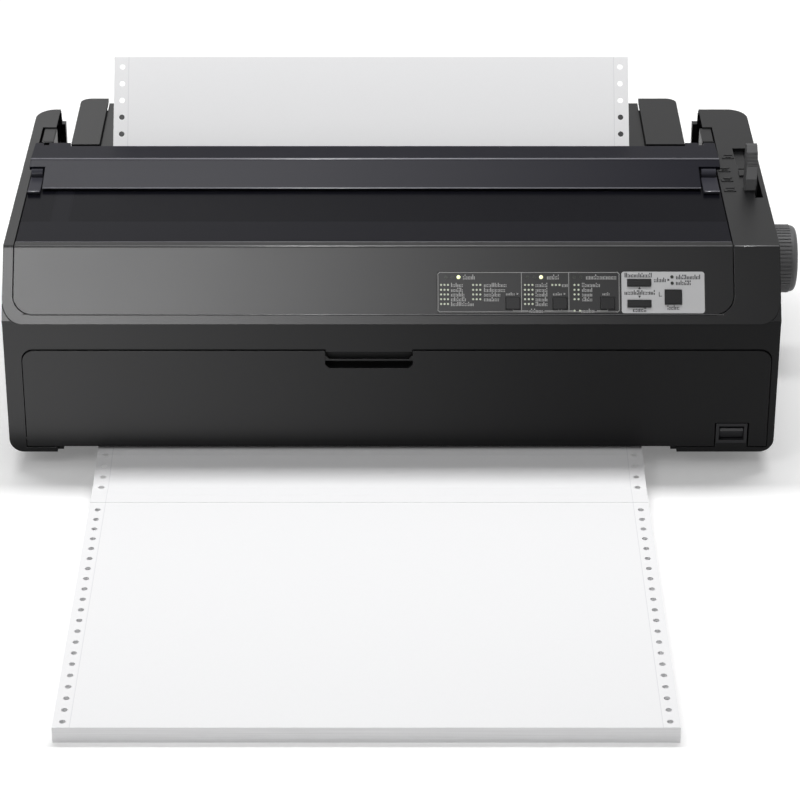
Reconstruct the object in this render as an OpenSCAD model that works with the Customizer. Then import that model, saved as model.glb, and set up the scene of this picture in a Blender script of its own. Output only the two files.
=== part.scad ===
// Wide-carriage dot matrix printer with fan-fold paper loaded through the front.
// X runs to the right, Y from front to back, Z up. The case is drawn from its own centre line
// and front face, and placed() moves everything so that the origin is the centre of the whole
// footprint, on the surface that the feet stand on.

/* [Case] */
// Width over the side walls
case_w = 530; // [520:5:545]
// Height of the top deck above the table
deck_z = 156; // [154:1:158]
// Depth of the case at its foot
case_d = 298; // [296:1:304]
// Wall thickness of the mouldings
wall = 3; // [2.5:0.25:3.5]
// Radius of the long rounded corners
corner_r = 14; // [8:1:16]

/* [Covers] */
// Thickness of the smoked lid
lid_t = 3; // [2:0.5:3]
// Thickness of the flap over the paper exit
flap_t = 2.5; // [2:0.25:3]
// Gap around each cover
gap = 0.6; // [0.5:0.1:0.8]

/* [Mechanism] */
// Radius of the platen roller
platen_r = 18; // [17:0.5:18]
// Radius of the hand knob
knob_r = 25; // [22:0.5:26]
// Number of grip ribs round the hand knob
knob_ribs = 54; // [40:2:64]
// Radial play of a shaft in its bore
play = 0.05; // [0.02:0.01:0.08]
// Module of the feed gears
gear_m = 1; // [1]

/* [Paper] */
// Width of the fan-fold paper, tear-off strips included
paper_w = 377.8; // [360:0.1:378]
// Length of one page between folds
page_l = 279.4; // [279.4]
// Height of the folded pile
pile_h = 10.8; // [8:0.1:11]
// Sprocket hole radius
hole_r = 2; // [1.8:0.1:2]

/* [Hidden] */
$fn = 48;
eps = 0.01;
// A height over the whole machine and a reach past all its ends, for cuts that go right through
over = 200;
far = 400;

// Colours
case_c = [0.24, 0.24, 0.25];
dark_c = [0.12, 0.12, 0.13];
smoke_c = [0.13, 0.13, 0.15, 0.8];
label_c = [0.62, 0.62, 0.62];
key_c = [0.3, 0.3, 0.31];
knob_c = [0.42, 0.42, 0.43];
steel_c = [0.7, 0.7, 0.72];
rubber_c = [0.08, 0.08, 0.08];
paper_c = [0.95, 0.95, 0.95];
board_c = [0.1, 0.35, 0.2];

// Case outline, side view: y from the front face, z from the table
base_z = 12.5;
split_z = 112.5;
half_w = case_w / 2;
lip_z = 117;
lip_y = 3;
ridge_y = 32.2;
slope_a = atan2(deck_z - 0.7 - lip_z, ridge_y - lip_y);
lip_low_y = lip_y - (lip_z - split_z) / tan(slope_a);
ridge_r = 3;
ridge_steps = [slope_a, slope_a * 0.75, slope_a * 0.5, slope_a * 0.25, 0];
// Middle of the round between the slope and the deck
ridge_mid = [lip_y + (deck_z - lip_z) / tan(slope_a) + ridge_r * tan(slope_a / 2), deck_z - ridge_r];
horn_y = 272;
rear_deck_z = [138, 102];
rear_deck_y = 206;

// Opening in the top of the case, and the seam round the inlaid panel and lid
open_l = -258;
open_r = 233.4;
horn_in_l = -248;
horn_in_r = 230;
notch_r = 237;
notch_y = [185, 238];
lid_front_y = 39.4;
lid_hinge = [199, 148];
lid_hinge_r = 2.5;

// Control panel places, x and distance up the slope from the lip
mode_x = [31.1, 155.4];
mode_s = [2.5, 31];
mode_split_x = [88.4, 120.6];
key_label_x = [156.4, 213.1];
key_label_s = [2.1, 31.1];
mode_key_s = 9.1;
mode_key_size = [9.4, 8.2];
mode_key_x = [82.6, 114.6, 147];
wide_key_size = [15.8, 4.8];
wide_key_x = 168.6;
load_key_s = 23.3;
feed_key_s = 8.8;
pause_key_at = [191.7, 13.4];
pause_key_size = [11.2, 9.9];
key_h = 5.8;
key_proud = 1;
key_gap = 0.35;
panel_t = 3;

// Flap over the paper exit, side view
flap_front = [124, 158];
flap_ridge = [160, 165];
flap_rear = [194, 162.5];
flap_x = [-258.5, 234.6];
flap_pin = [189.5, 160.2];
flap_pin_r = 1.5;
flap_bead_r = 1.2;
flap_notch_x = [-247.4, 219.2];
flap_notch_y = 149.8;
flap_low_x = [-233, 213];

// Front cover
cover_x = [-252.6, 259.8];
cover_z = [17.4, 91.6];
cover_pin = [4.4, 22];
cover_pin_r = 2;
cover_r = 8;
// Clearance under the front cover's lower edge, which swings down as it opens
cover_low_gap = 1.3;
front_y = 1;
grip_x = [-45.4, 14.6];
grip_z = [78.4, 93];
entry_x = [-228, 194];
switch_x = [224.6, 246.2];
switch_z = [19.6, 34.8];

// Mechanism
platen_at = [175.5, 78.5];
platen_x = [-212, 212];
shaft_r = 4;
knob_x = [266.6, 295.6];
frame_x = 222;
frame_t = 3;
rod_at = [130, 66];
rod_r = 6;
tractor_at = [52.7, 33];
tractor_r = 9;
tractor_y = [40, 70];
line_a = atan2(tractor_at[1] - platen_at[1], tractor_at[0] - platen_at[0]);
teeth = [40, 48, 48, 30];
gear_x = [228, 234];
idler_rear_d = gear_m * (teeth[0] + teeth[1]) / 2;
idler_front_d = idler_rear_d + gear_m * (teeth[1] + teeth[2]) / 2;
idler_rear_at = platen_at + idler_rear_d * [cos(line_a), sin(line_a)];
idler_front_at = platen_at + idler_front_d * [cos(line_a), sin(line_a)];
lever_pin = [150, 97];
lever_pin_r = 3;
lever_hub_r = 8;
lever_x = [250.2, 261.2];
slot_x = [256.3, 261.7];
slot_y = [112, 199];
pulley_x = [-243.5, 200];
pulley_y = 117;
pulley_r = 8;
belt_z = [48, 54];

// Paper
paper_x = -15;
paper_t = 0.3;
hole_in = 6;
hole_pitch = 12.7;
first_hole = 7.6;
pile_y = [-336, -336 + page_l];
web_r = platen_r + 0.45;
exit_a = 52.4;
exit_end = [251, 206.5];
// Path of the sheet from the pile, under the front cover, over the tractors and up to the platen
feed_path = concat(
    [for (y = [-66, -56]) [y, pile_h + paper_t / 2]],
    [[-44, 9.9], [-28, 11.2], [-6, 14.2], [12, 14.9], [21, 17.6], [27.6, 24.5]],
    [for (a = [180:-15:90]) [tractor_y[0], tractor_at[1]] + (tractor_r + 0.8) * [cos(a), sin(a)]],
    [[70, 42.8], [84, 42.3], [126, 43], [144, 48.5], [153.5, 58], [platen_at[0] - web_r, 70]]
);

// Footprint centre
mid_x = (knob_x[1] - half_w) / 2;
mid_y = (pile_y[0] + 300) / 2;

module placed() { translate([-mid_x, -mid_y, 0]) children(); }

// Extrudes an outline drawn in y and z along X
module along_x(x0, x1) { translate([x0, 0, 0]) rotate([90, 0, 90]) linear_extrude(x1 - x0) children(); }

// Extrudes an outline drawn in x and z along Y
module along_y(y0, y1) { translate([0, y1, 0]) rotate([90, 0, 0]) linear_extrude(y1 - y0) children(); }

module box(x, y, z) { translate([x[0], y[0], z[0]]) cube([x[1] - x[0], y[1] - y[0], z[1] - z[0]]); }

// Rectangle with its own radius at each corner: low-left, low-right, top-right, top-left
module round_box(a, b, r) {
    difference() {
        translate(a) square(b - a);
        for (i = [0:3]) {
            ri = r[i];
            sx = (i == 0 || i == 3) ? 1 : -1;
            sy = i < 2 ? 1 : -1;
            at = [sx > 0 ? a[0] : b[0], sy > 0 ? a[1] : b[1]];
            if (ri > 0) translate(at) mirror([sx > 0 ? 0 : 1, 0]) mirror([0, sy > 0 ? 0 : 1]) difference() {
                translate([-1, -1]) square(ri + 1);
                translate([ri, ri]) circle(ri);
            }
        }
    }
}

module rod(at, r, x0, x1) { translate([x0, at[0], at[1]]) rotate([0, 90, 0]) cylinder(r = r, h = x1 - x0); }

module on_slope() { translate([0, lip_y, lip_z]) rotate([slope_a, 0, 0]) children(); }

// ---- Case ----

// Outline of the whole case seen from the side, shrunk by d
function case_side(d) = concat([
    [front_y + 1 + d, base_z + d], [front_y + 1 + d, split_z], [lip_low_y + d, split_z]
], [for (a = ridge_steps) ridge_mid + ridge_r * [-sin(a), cos(a)] + d * [0.55, -1]], [
    [case_d + 4 - d, deck_z - d], [case_d + 4 - d, base_z + d]
]);
rear_tilt = atan2(case_d - horn_y, deck_z - split_z);
// Radius of the case's lower corners
foot_r = 10;

module case_solid(d, upper) {
    intersection() {
        along_x(-half_w + d, half_w - d) polygon(case_side(d));
        along_y(-far, far) round_box([-half_w + d, base_z + d], [half_w - d, over], [foot_r, foot_r, 0, 0]);
        // The back wall stands upright below the split and leans forward above it
        if (upper) translate([0, case_d - d, split_z]) rotate([rear_tilt, 0, 0])
            translate([0, 0, -far]) linear_extrude(2 * far)
            round_box([-half_w + d, -2 * far], [half_w - d, 0], [0, 0, corner_r, corner_r]);
        else linear_extrude(over)
            round_box([-half_w + d, -far], [half_w - d, case_d - d], [0, 0, corner_r, corner_r]);
    }
}

// Depth of the rounded lower corners of the top moulding; the bottom moulding fills them out
lip_depth = 13.5;

module lip_corner(extra) {
    for (side = [0, 1]) mirror([side, 0, 0]) along_y(front_y - 2, lip_depth + 2.5) difference() {
        translate([half_w - corner_r, split_z - 1]) square([corner_r + 1, corner_r + 1]);
        translate([half_w - corner_r, split_z + corner_r]) circle(corner_r + extra);
    }
}

module lower_case() {
    color(case_c) placed() {
        difference() {
            intersection() {
                case_solid(0, false);
                union() {
                    box([-far, far], [front_y, far], [0, split_z - 0.2]);
                    intersection() {
                        lip_corner(0.3);
                        box([-far, far], [front_y, front_y + lip_depth], [split_z - 0.5, split_z + corner_r]);
                    }
                }
            }
            difference() {
                case_solid(wall, false);
                // Hinge blocks for the front cover
                for (x = [[-half_w, cover_x[0] - gap], [cover_x[1] + gap, half_w]])
                    box(x, [0, hinge_block[0]], [0, hinge_block[1]]);
                // Posts that the chassis is screwed to
                for (x = post_x) for (y = post_y) translate([x, y, 0]) cylinder(r = post_r, h = chassis_z);
            }
            // Opening behind the front cover, and the slot that the paper enters by
            difference() {
                along_y(-far, lip_depth) round_box(
                    [cover_x[0] - gap, cover_z[0] - cover_low_gap], [cover_x[1] + gap, cover_z[1] + gap],
                    [0, 0, cover_r, cover_r]
                );
                box(switch_x + [-0.3, 0.3], [-far, far], [0, switch_z[0] - 0.1]);
                // Tab that hangs over the finger grip
                box(grip_x + [0.4, -0.4], [front_y, front_y + 2.2], [grip_back_z + 1, cover_z[1] + 2]);
            }
            box(entry_x, [-far, 36], [0, cover_z[0] + 1]);
            for (x = [entry_x[0] - 4, entry_x[1]]) box([x, x + 4], [-far, 6], [0, cover_z[0]]);
            // Hinge holes of the front cover
            rod(cover_pin, cover_pin_r + play, cover_x[0] - 5.4, cover_x[1] + 3.2);
            // Platen shaft, power inlet, data ports, screws
            rod(platen_at, shaft_r + 1, half_w - wall - 1, half_w + 1);
            for (p = sockets) box(p[0] + [-gap, gap], back_wall_y, p[1] + [-gap, gap]);
            for (x = post_x) for (y = post_y) translate([x, y, 0]) {
                cylinder(r = screw_r + 0.1, h = chassis_z + 10);
                cylinder(r = screw_head_r + 0.8, h = base_z + 2);
            }
            // Ventilation slots, in the back wall and low on the left side
            for (i = [0:vents - 1]) {
                box([-140, -136] + i * [vent_pitch, vent_pitch], back_wall_y, [30, 62]);
                box([-half_w - 1, -half_w + wall + 1], [120, 124] + i * [vent_pitch, vent_pitch], [26, 58]);
            }
        }
    }
}

post_x = [-214, 0, 206];
post_y = [64, 205];
post_r = 6;
screw_r = 1.7;
screw_head_r = 3.4;
hinge_block = [13, 32];
back_wall_y = [280, 310];
vents = 12;
vent_pitch = 9;
// Power inlet, parallel port and serial port: x, z
sockets = [[[-205, -177], [28, 50]], [[60, 116], [28, 42]], [[140, 154], [28, 40]]];
chassis_z = base_z + wall + 3;

// Walls that edge the opening
edge_t = 2.4;
edge_z = [split_z + 14, deck_z];

module upper_case() {
    color(case_c) placed() difference() {
        intersection() {
            case_solid(0, true);
            box([-far, far], [-far, far], [split_z, over]);
        }
        difference() {
            intersection() {
                case_solid(wall, true);
                box([-far, far], [-far, far], [split_z - 1, over]);
            }
            // Walls that edge the opening, and the horns beside the paper exit
            box([open_l - edge_t, open_l], [lip_y, notch_y[1] + 2], edge_z);
            box([open_r, open_r + edge_t], [12, notch_y[0]], edge_z);
            box([notch_r, notch_r + edge_t], [notch_y[0] - 2, notch_y[1] + 2], edge_z);
            box([open_l - 3, horn_in_l], [notch_y[1], horn_y], [split_z, deck_z]);
            box([horn_in_r, notch_r + 3], [notch_y[1], horn_y], [split_z, deck_z]);
            box([open_r, notch_r + edge_t], [notch_y[0] - edge_t, notch_y[0]], edge_z);
            // Floor under the recess beside the lever
            box(pocket_x + [-1.5, -0.1], pocket_y + [-1.5, 1.5], [pocket_z[0], deck_z]);
            // Low deck behind the paper exit, carried between the side walls
            rear_deck(0);
        }
        // Opening for the panel, the lid and the paper
        opening_cut();
        lip_corner(0);
        box(slot_x, slot_y, [split_z, over]);
        along_x(pocket_x[0], pocket_x[1]) polygon([
            [pocket_y[0], deck_z + 1], [pocket_y[0], pocket_z[1]],
            [pocket_y[1], pocket_z[1]], [pocket_y[1], deck_z + 1]
        ]);
        // The hole widens under the recess
        along_x(stop_hole_x[0], stop_hole_x[1]) polygon([
            [stop_hole_y[0], split_z], [stop_hole_y[0], deck_z + 1], [stop_hole_y[1], deck_z + 1],
            [stop_hole_y[1], pocket_z[1] - 0.4], [stop_hole_y[1] + 12, pocket_z[0] - 0.2],
            [stop_hole_y[1] + 12, split_z]
        ]);
        // Hinge holes of the lid
        rod(lid_hinge, lid_hinge_r + play, open_l - 2, notch_r + 2);
    }
    color(case_c) placed() {
        guide_lugs();
        // Pad in front of the hole beside the lever, steps inside the horns, ledges under the panel
        box(stop_x, stop_y, [deck_z - 1, deck_z + 1]);
        for (x = [[horn_in_l - 1, horn_in_l + 4], [horn_in_r - 5, horn_in_r + 1]])
            box(x, [horn_y - 8, horn_y - 2], [split_z + 6, deck_z - 8.6]);
        for (x = [open_l - 1, open_r - 5]) along_x(x, x + 6) polygon(ledge_side);
    }
}

// Forks on the rear deck that carry the paper guide
module guide_lugs() {
    for (x = guide_arm_x) {
        for (a = [x[0] - 5.5, x[1] + 0.5]) along_x(a, a + 5) polygon([
            [guide_pivot[0] - 9, rear_deck_z[0] - 5], [guide_pivot[0] - 2.6, guide_pivot[1] + 2.6],
            [guide_pivot[0] + 2.6, guide_pivot[1] + 2.6], [guide_pivot[0] + 9, rear_deck_z[0] - 8]
        ]);
        rod(guide_pivot, guide_pin_r, x[0] - 1, x[1] + 1);
    }
}

// Ledge under the panel, a hair below its inner face
ledge_side = [[12.4, 122.8], [28.4, 142.8], [31, 141], [15, 121]];
// Recess beside the lever, with a hole and a low pad at its front end
pocket_x = [248.2, slot_x[0] + 0.1];
pocket_y = [168, slot_y[1]];
pocket_z = [deck_z - 6.5, deck_z - 2.9];
stop_hole_x = [249, slot_x[0] + 0.1];
stop_hole_y = [158.5, 169];
stop_x = [248.6, 252.8];
stop_y = [148.5, 158.5];

// Sloping deck behind the paper exit, seen from the side and raised by d
module rear_deck(d) {
    along_x(-half_w, half_w) polygon([
        [rear_deck_y, rear_deck_z[0] - 2.4], [case_d - wall - 0.5, rear_deck_z[1] + 14 - 2.4],
        [case_d - wall + 2, rear_deck_z[1] + 14 + d], [rear_deck_y, rear_deck_z[0] + d]
    ]);
}

// Distance up the slope from the lip to the opening
opening_s = 0.8;

module opening_cut() {
    // Through the front slope and the top as far as the paper exit
    intersection() {
        box([open_l, open_r], [-far, notch_y[0]], [split_z - 5, over]);
        on_slope() translate([0, 0, -over]) linear_extrude(2 * over)
            round_box([open_l, opening_s], [open_r, far], [corner_r, corner_r, 0, 0]);
    }
    box([open_l, notch_r], [notch_y[0] - eps, rear_deck_y], [split_z - 5, over]);
    // Above the low rear deck, between the horns
    along_x(open_l, notch_r) polygon([
        [rear_deck_y - eps, rear_deck_z[0]], [notch_y[1], rear_deck_z[0] - 10.6], [notch_y[1], over],
        [rear_deck_y - eps, over]
    ]);
    along_x(horn_in_l, horn_in_r) polygon([
        [rear_deck_y, rear_deck_z[0]], [case_d + 20, rear_deck_z[1] + 7.3], [case_d + 20, over],
        [rear_deck_y, over]
    ]);
}

feet_x = [-222, 222];
feet_y = [52, 262];
feet_r = 9;

module rubber_feet() {
    color(rubber_c) placed() for (x = feet_x) for (y = feet_y)
        translate([x, y, 0]) cylinder(r = feet_r, h = base_z);
}

module case_screws() {
    color(steel_c) placed() for (x = post_x) for (y = post_y) translate([x, y, base_z + 2]) {
        cylinder(r = screw_r, h = 12);
        translate([0, 0, -1.8]) cylinder(r = screw_head_r, h = 1.8);
    }
}

// ---- Control panel ----

// Outline of the inlaid panel seen from the side
panel_side = concat([
    [lid_front_y - gap, deck_z], [lid_front_y - gap, deck_z - panel_t - 6],
    [lid_front_y - gap - 2, deck_z - panel_t - 6], [lid_front_y - gap - 2, deck_z - panel_t],
    [ridge_y + 3.2, deck_z - panel_t - 0.8], [lip_y + 3.4, lip_z - 1.2], [lip_y + 0.6, lip_z + 0.8]
], [for (a = ridge_steps) ridge_mid + ridge_r * [-sin(a), cos(a)]]);

module mode_key_holes() {
    for (x = mode_key_x) key_hole(x, mode_key_s, mode_key_size);
}

module main_key_holes() {
    key_hole(wide_key_x, load_key_s, wide_key_size);
    key_hole(wide_key_x, feed_key_s, wide_key_size);
    key_hole(pause_key_at[0], pause_key_at[1], pause_key_size);
}

module key_hole(x, s, size) {
    on_slope() translate([x - size[0] / 2 - key_gap, s - size[1] / 2 - key_gap, -20])
        cube([size[0] + 2 * key_gap, size[1] + 2 * key_gap, 40]);
}

inlay_r = corner_r - gap;

module control_panel() {
    color(case_c) placed() difference() {
        intersection() {
            along_x(open_l + gap, open_r - gap) polygon(panel_side);
            on_slope() translate([0, 0, -over]) linear_extrude(2 * over)
                round_box([open_l, opening_s] + [gap, gap], [open_r - gap, over], inlay_r * [1, 1, 0, 0]);
        }
        label_bed(mode_x, mode_s);
        label_bed(key_label_x, key_label_s);
        mode_key_holes();
        main_key_holes();
    }
}

module label_bed(x, s) {
    on_slope() translate([0, 0, panel_out - label_bed_d]) linear_extrude(panel_t)
        round_box([x[0], s[0]], [x[1], s[1]], label_r * [1, 1, 1, 1]);
}

// Height of the panel's face over the line from lip to ridge
panel_out = 0.05;
label_t = 0.7;
label_bed_d = 0.5;
label_r = 2;

module label_plate(x, s) {
    on_slope() translate([0, 0, panel_out - label_bed_d]) linear_extrude(label_t)
        round_box([x[0] + 0.1, s[0] + 0.1], [x[1] - 0.1, s[1] - 0.1], (label_r - 0.1) * [1, 1, 1, 1]);
}

module panel_mode_label() {
    color(dark_c) placed() difference() {
        label_plate(mode_x, mode_s);
        mode_key_holes();
        lamp_holes(mode_lamps);
        for (x = mode_split_x) on_slope() translate([x - 0.25, mode_s[0] + 0.6, panel_out])
            cube([0.5, mode_s[1] - mode_s[0] - 1.2, 2]);
    }
}

module panel_key_label() {
    color(label_c) placed() difference() {
        label_plate(key_label_x, key_label_s);
        main_key_holes();
        lamp_holes(key_lamps);
    }
}

// Indicator lamps: x, distance up the slope
lamp_r = 1.1;
mode_lamps = [for (x = [37, 41.3, 45.6, 92.6, 97.2, 101.8, 124.4, 129]) [x, 27.2]];
key_lamps = [[190.9, 27.4], [191, 23]];

module lamp_holes(at) {
    for (p = at) on_slope() translate([p[0], p[1], -5]) cylinder(r = lamp_r + 0.05, h = 10);
}

module panel_lamps() {
    color([0.5, 0.7, 0.2]) placed() for (p = concat(mode_lamps, key_lamps))
        on_slope() translate([p[0], p[1], panel_out - label_bed_d]) cylinder(r = lamp_r, h = label_t + 0.2);
}

// Cap with a flange below it that keeps it in its hole
key_flange = 1;
key_flange_t = 1.2;

module key_cap(x, s, size) {
    half = size / 2;
    brim = half + [key_flange, key_flange];
    color(key_c) placed() on_slope() translate([x, s, panel_out + key_proud - key_h]) {
        box([-half[0], half[0]], [-half[1], half[1]], [0, key_h]);
        box([-brim[0], brim[0]], [-brim[1], brim[1]], [-key_flange_t, 0]);
    }
}

module load_key() { key_cap(wide_key_x, load_key_s, wide_key_size); }

module line_feed_key() { key_cap(wide_key_x, feed_key_s, wide_key_size); }

module pause_key() { key_cap(pause_key_at[0], pause_key_at[1], pause_key_size); }

module font_key() { key_cap(mode_key_x[0], mode_key_s, mode_key_size); }

module pitch_key() { key_cap(mode_key_x[1], mode_key_s, mode_key_size); }

module menu_key() { key_cap(mode_key_x[2], mode_key_s, mode_key_size); }

// ---- Lid, flap and paper guide ----

lid_top = deck_z - 0.5;
lid_plate_y = flap_front[0] + 8;
arm_x = [[open_l + gap, -247], [221, open_r - gap]];
pad_x = [[-257, -248.2], [220.4, 231.6]];
pad_y = [118, 142.6];
lid_back_y = 190;
knuckle_at = [145.5, 159.2];
knuckle_r = 3.8;
rim_t = 2;
rim_z = [lid_top - 7, lid_top - 1];

module printer_cover() {
    color(smoke_c) placed() difference() {
        union() {
            box([open_l + gap, open_r - gap], [lid_front_y, lid_plate_y], [lid_top - lid_t, lid_top]);
            for (x = arm_x) {
                box(x, [120, lid_back_y], [lid_top - lid_t, lid_top]);
                along_x(x[0], x[1]) polygon([
                    [lid_back_y - 6, lid_top - lid_t], [lid_hinge[0], lid_hinge[1] - 4.5],
                    [lid_hinge[0] + 4.5, lid_hinge[1]], [lid_hinge[0], lid_hinge[1] + 4.5],
                    [lid_back_y - 6, lid_top]
                ]);
            }
            // Pads and knuckles in the notches of the flap
            for (x = pad_x) {
                box(x, pad_y, [lid_top - 0.5, deck_z + 2.2]);
                rod(knuckle_at, knuckle_r, x[0] + 0.4, x[1] - 0.4);
                box(x + [2, -2], [knuckle_at[0] - 2, knuckle_at[0] + 2], [lid_top - 0.5, knuckle_at[1]]);
            }
            // Turned-down rim round the window
            box([open_l + gap, open_r - gap], [lid_front_y, lid_front_y + rim_t], rim_z);
            for (x = [open_l + gap, open_r - gap - rim_t])
                box([x, x + rim_t], [lid_front_y, lid_back_y - 8], rim_z);
            // Lugs for the flap
            for (x = lug_x) along_x(x[0], x[1]) polygon([
                [flap_pin[0] - 8, lid_top - 1], [flap_pin[0] - 2.6, flap_pin[1] + 1.2],
                [flap_pin[0] + 2.6, flap_pin[1] + 1.2], [flap_pin[0] + 2.6, lid_top - 5],
                [flap_pin[0] - 8, lid_top - 5]
            ]);
            // Hinge pins at the back
            for (x = [[open_l - 1.6, open_l + gap + 1], [open_r - gap - 1, notch_r + 1.6]])
                rod(lid_hinge, lid_hinge_r, x[0], x[1]);
        }
        for (x = lug_x) rod(flap_pin, flap_pin_r + play, x[0] - 1, x[1] + 1);
    }
}

lug_x = [[-252, -249], [223, 226]];

module paper_flap() {
    up = (flap_ridge - flap_front) / norm(flap_ridge - flap_front);
    color(smoke_c) placed() {
        difference() {
            along_x(flap_x[0], flap_x[1]) polygon([
                flap_front, flap_ridge - flap_bead_r * up, flap_ridge + [flap_bead_r, -0.1], flap_rear,
                flap_rear - [0, flap_t], flap_ridge - [0, flap_t], flap_front + [1.5, -1.4]
            ]);
            for (x = [[-far, flap_notch_x[0]], [flap_notch_x[1], far]]) box(x, [0, flap_notch_y], [0, over]);
            // Lower middle stretch of the back edge
            box(flap_low_x, [flap_rear[0] - 7, far], [0, over]);
            // Room for the lugs
            for (x = lug_x) {
                box([x[0] - gap, x[1] + gap], [flap_pin[0] - 9, flap_pin[0] + 1], [0, flap_pin[1] + 1.8]);
                box([x[0] - gap, x[1] + gap], [flap_pin[0] - 0.5, far], [0, over]);
            }
        }
        // Bead along the ridge
        rod(flap_ridge + [-0.2, -1], flap_bead_r, flap_x[0] + 0.2, flap_x[1] - 0.2);
        // Stiffening ribs and the pins
        for (x = [flap_x[0] + 3, lug_x[0][1] + gap + 0.2, lug_x[1][0] - 4, lug_x[1][1] + gap + 0.2])
            along_x(x, x + 2) polygon([
                [flap_pin[0] - 14, flap_ridge[1] - 3], [flap_rear[0] - 8, flap_rear[1] - 1],
                [flap_pin[0] + 2.2, flap_pin[1] - 1.6], [flap_pin[0] - 2.2, flap_pin[1] - 1.6]
            ]);
        rod(flap_pin, flap_pin_r, flap_x[0] + 4, lug_x[0][1] + gap + 1);
        rod(flap_pin, flap_pin_r, lug_x[1][0] - 3, lug_x[1][1] + gap + 1);
    }
}

guide_pivot = [222, 141.5];
guide_top = 150;
guide_y = [213, 305];
guide_x = [-234, 214];
guide_mid_x = [-213.8, 186.2];
guide_mid_y = 298.2;
edge_back_y = 300.4;
edge_r = 8;
guide_t = 4.5;
guide_step = 2.2;
guide_pin_r = 2;

module paper_guide() {
    color(case_c) placed() {
        difference() {
            union() {
                box(guide_x, [guide_y[0], guide_mid_y - 8.6], [guide_top - guide_t, guide_top - guide_step]);
                difference() {
                    box(guide_mid_x, [guide_y[0], guide_mid_y], [guide_top - guide_t, guide_top]);
                    // Coring under the raised middle
                    for (x = [-190:53:128])
                        box([x, x + 30], [guide_y[0] + 8, guide_mid_y - 10], [0, guide_top - 2]);
                }
                for (x = guide_arm_x) along_x(x[0], x[1]) polygon([
                    [guide_y[0] + 1, guide_top - 2.4], [guide_pivot[0] - 4, guide_pivot[1] - 2],
                    [guide_pivot[0], guide_pivot[1] - 4], [guide_pivot[0] + 4, guide_pivot[1] - 2],
                    [guide_y[0] + 26, guide_top - 2.4]
                ]);
            }
            for (x = guide_arm_x) rod(guide_pivot, guide_pin_r + play, x[0] - 1, x[1] + 1);
        }
    }
}

guide_arm_x = [[-200, -195], [167, 172]];

// Plate with one rounded back corner, hooked over the back edge of the paper guide
module edge_guide(x0, x1, r_right, r_left) {
    color(case_c) placed() {
        translate([0, 0, guide_top + 0.2]) linear_extrude(2.8)
            round_box([x0, guide_y[0] + 0.6], [x1, edge_back_y], [0, 0, r_right, r_left]);
        box([x0 + 10, x1 - 4], [guide_mid_y + 0.4, edge_back_y - 0.2], [guide_top - 4, guide_top + 0.3]);
    }
}

module edge_guide_left() { edge_guide(-235, -214.4, 0, edge_r); }

module edge_guide_right() { edge_guide(186.8, 215, edge_r, 0); }

// ---- Front cover and power switch ----

// Finger grip: a pocket behind the cover with a bar across its mouth
bar_y = [front_y + 0.3, front_y + 2.3];
bar_z = [84.1, 85.3];
bar_end = [3.5, 2.6];
grip_wall = 1.5;
grip_depth = 11;
grip_cut = 2.8;
grip_back_z = 89.4;
grip_side_z = [grip_z[0] - 1, grip_back_z - 2.5];
// Pocket in side view: floor, back and sloping roof
grip_side = [
    [front_y + 0.5, grip_z[0] - grip_wall], [front_y + grip_depth + grip_wall, grip_z[0] - grip_wall],
    [front_y + grip_depth + grip_wall, grip_back_z - 2.4], [front_y + 5, grip_back_z],
    [front_y + 5, grip_back_z - grip_wall], [front_y + grip_depth, grip_back_z - 3.4],
    [front_y + grip_depth, grip_z[0]], [front_y + 0.5, grip_z[0]]
];

module front_cover() {
    color(case_c) placed() {
        along_y(front_y, front_y + wall) difference() {
            round_box([cover_x[0], cover_z[0]], [cover_x[1], cover_z[1]], [0, 0, cover_r, cover_r]);
            round_box([switch_x[0] - 1, 0], [switch_x[1] + 1, switch_z[1] + 1], [0, 0, 1, 1]);
            polygon([
                [grip_x[0], grip_z[1]], [grip_x[0], grip_z[0] + grip_cut], [grip_x[0] + grip_cut, grip_z[0]],
                [grip_x[1] - grip_cut, grip_z[0]], [grip_x[1], grip_z[0] + grip_cut], [grip_x[1], grip_z[1]]
            ]);
        }
        along_x(grip_x[0] - grip_wall, grip_x[1] + grip_wall) polygon(grip_side);
        box(grip_x + [-grip_wall, grip_wall], bar_y, bar_z);
        // The bar's ends sweep up to the sides of the mouth
        for (side = [0, 1])
            translate([grip_x[side], 0, 0]) mirror([side, 0, 0]) along_y(bar_y[0], bar_y[1]) polygon([
                [-1, bar_z[0] + 0.2], [bar_end[0], bar_z[0] + 0.2],
                [0.6, bar_z[1] + bar_end[1]], [-1, bar_z[1] + bar_end[1]]
            ]);
        for (x = [grip_x[0] - grip_wall, grip_x[1]])
            box([x, x + grip_wall], [front_y + 1, front_y + 1 + grip_depth], grip_side_z);
        // Ribs behind the cover
        for (x = rib_x)
            box([x, x + rib_t], [front_y + wall - 0.2, front_y + 8], [cover_z[0] + 14, cover_z[1] - 6]);
        for (z = [cover_z[0] + 22, cover_z[1] - 20])
            box([cover_x[0] + 20, switch_x[0] - 12], [front_y + wall - 0.2, front_y + 6], [z, z + rib_t]);
        // Hinge pins and the ears that carry them
        for (x = [cover_x[0], cover_x[1] - wall])
            box([x, x + wall], [front_y + 1, cover_pin[0] + 3.5], [cover_z[0] + 2, cover_pin[1] + 4]);
        rod(cover_pin, cover_pin_r, cover_x[0] - 4.4, cover_x[0] + 1);
        rod(cover_pin, cover_pin_r, cover_x[1] - 1, cover_x[1] + 2.6);
    }
}

rib_x = [-232, -160, -90, 60, 130, 196];
rib_t = 2;

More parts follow.
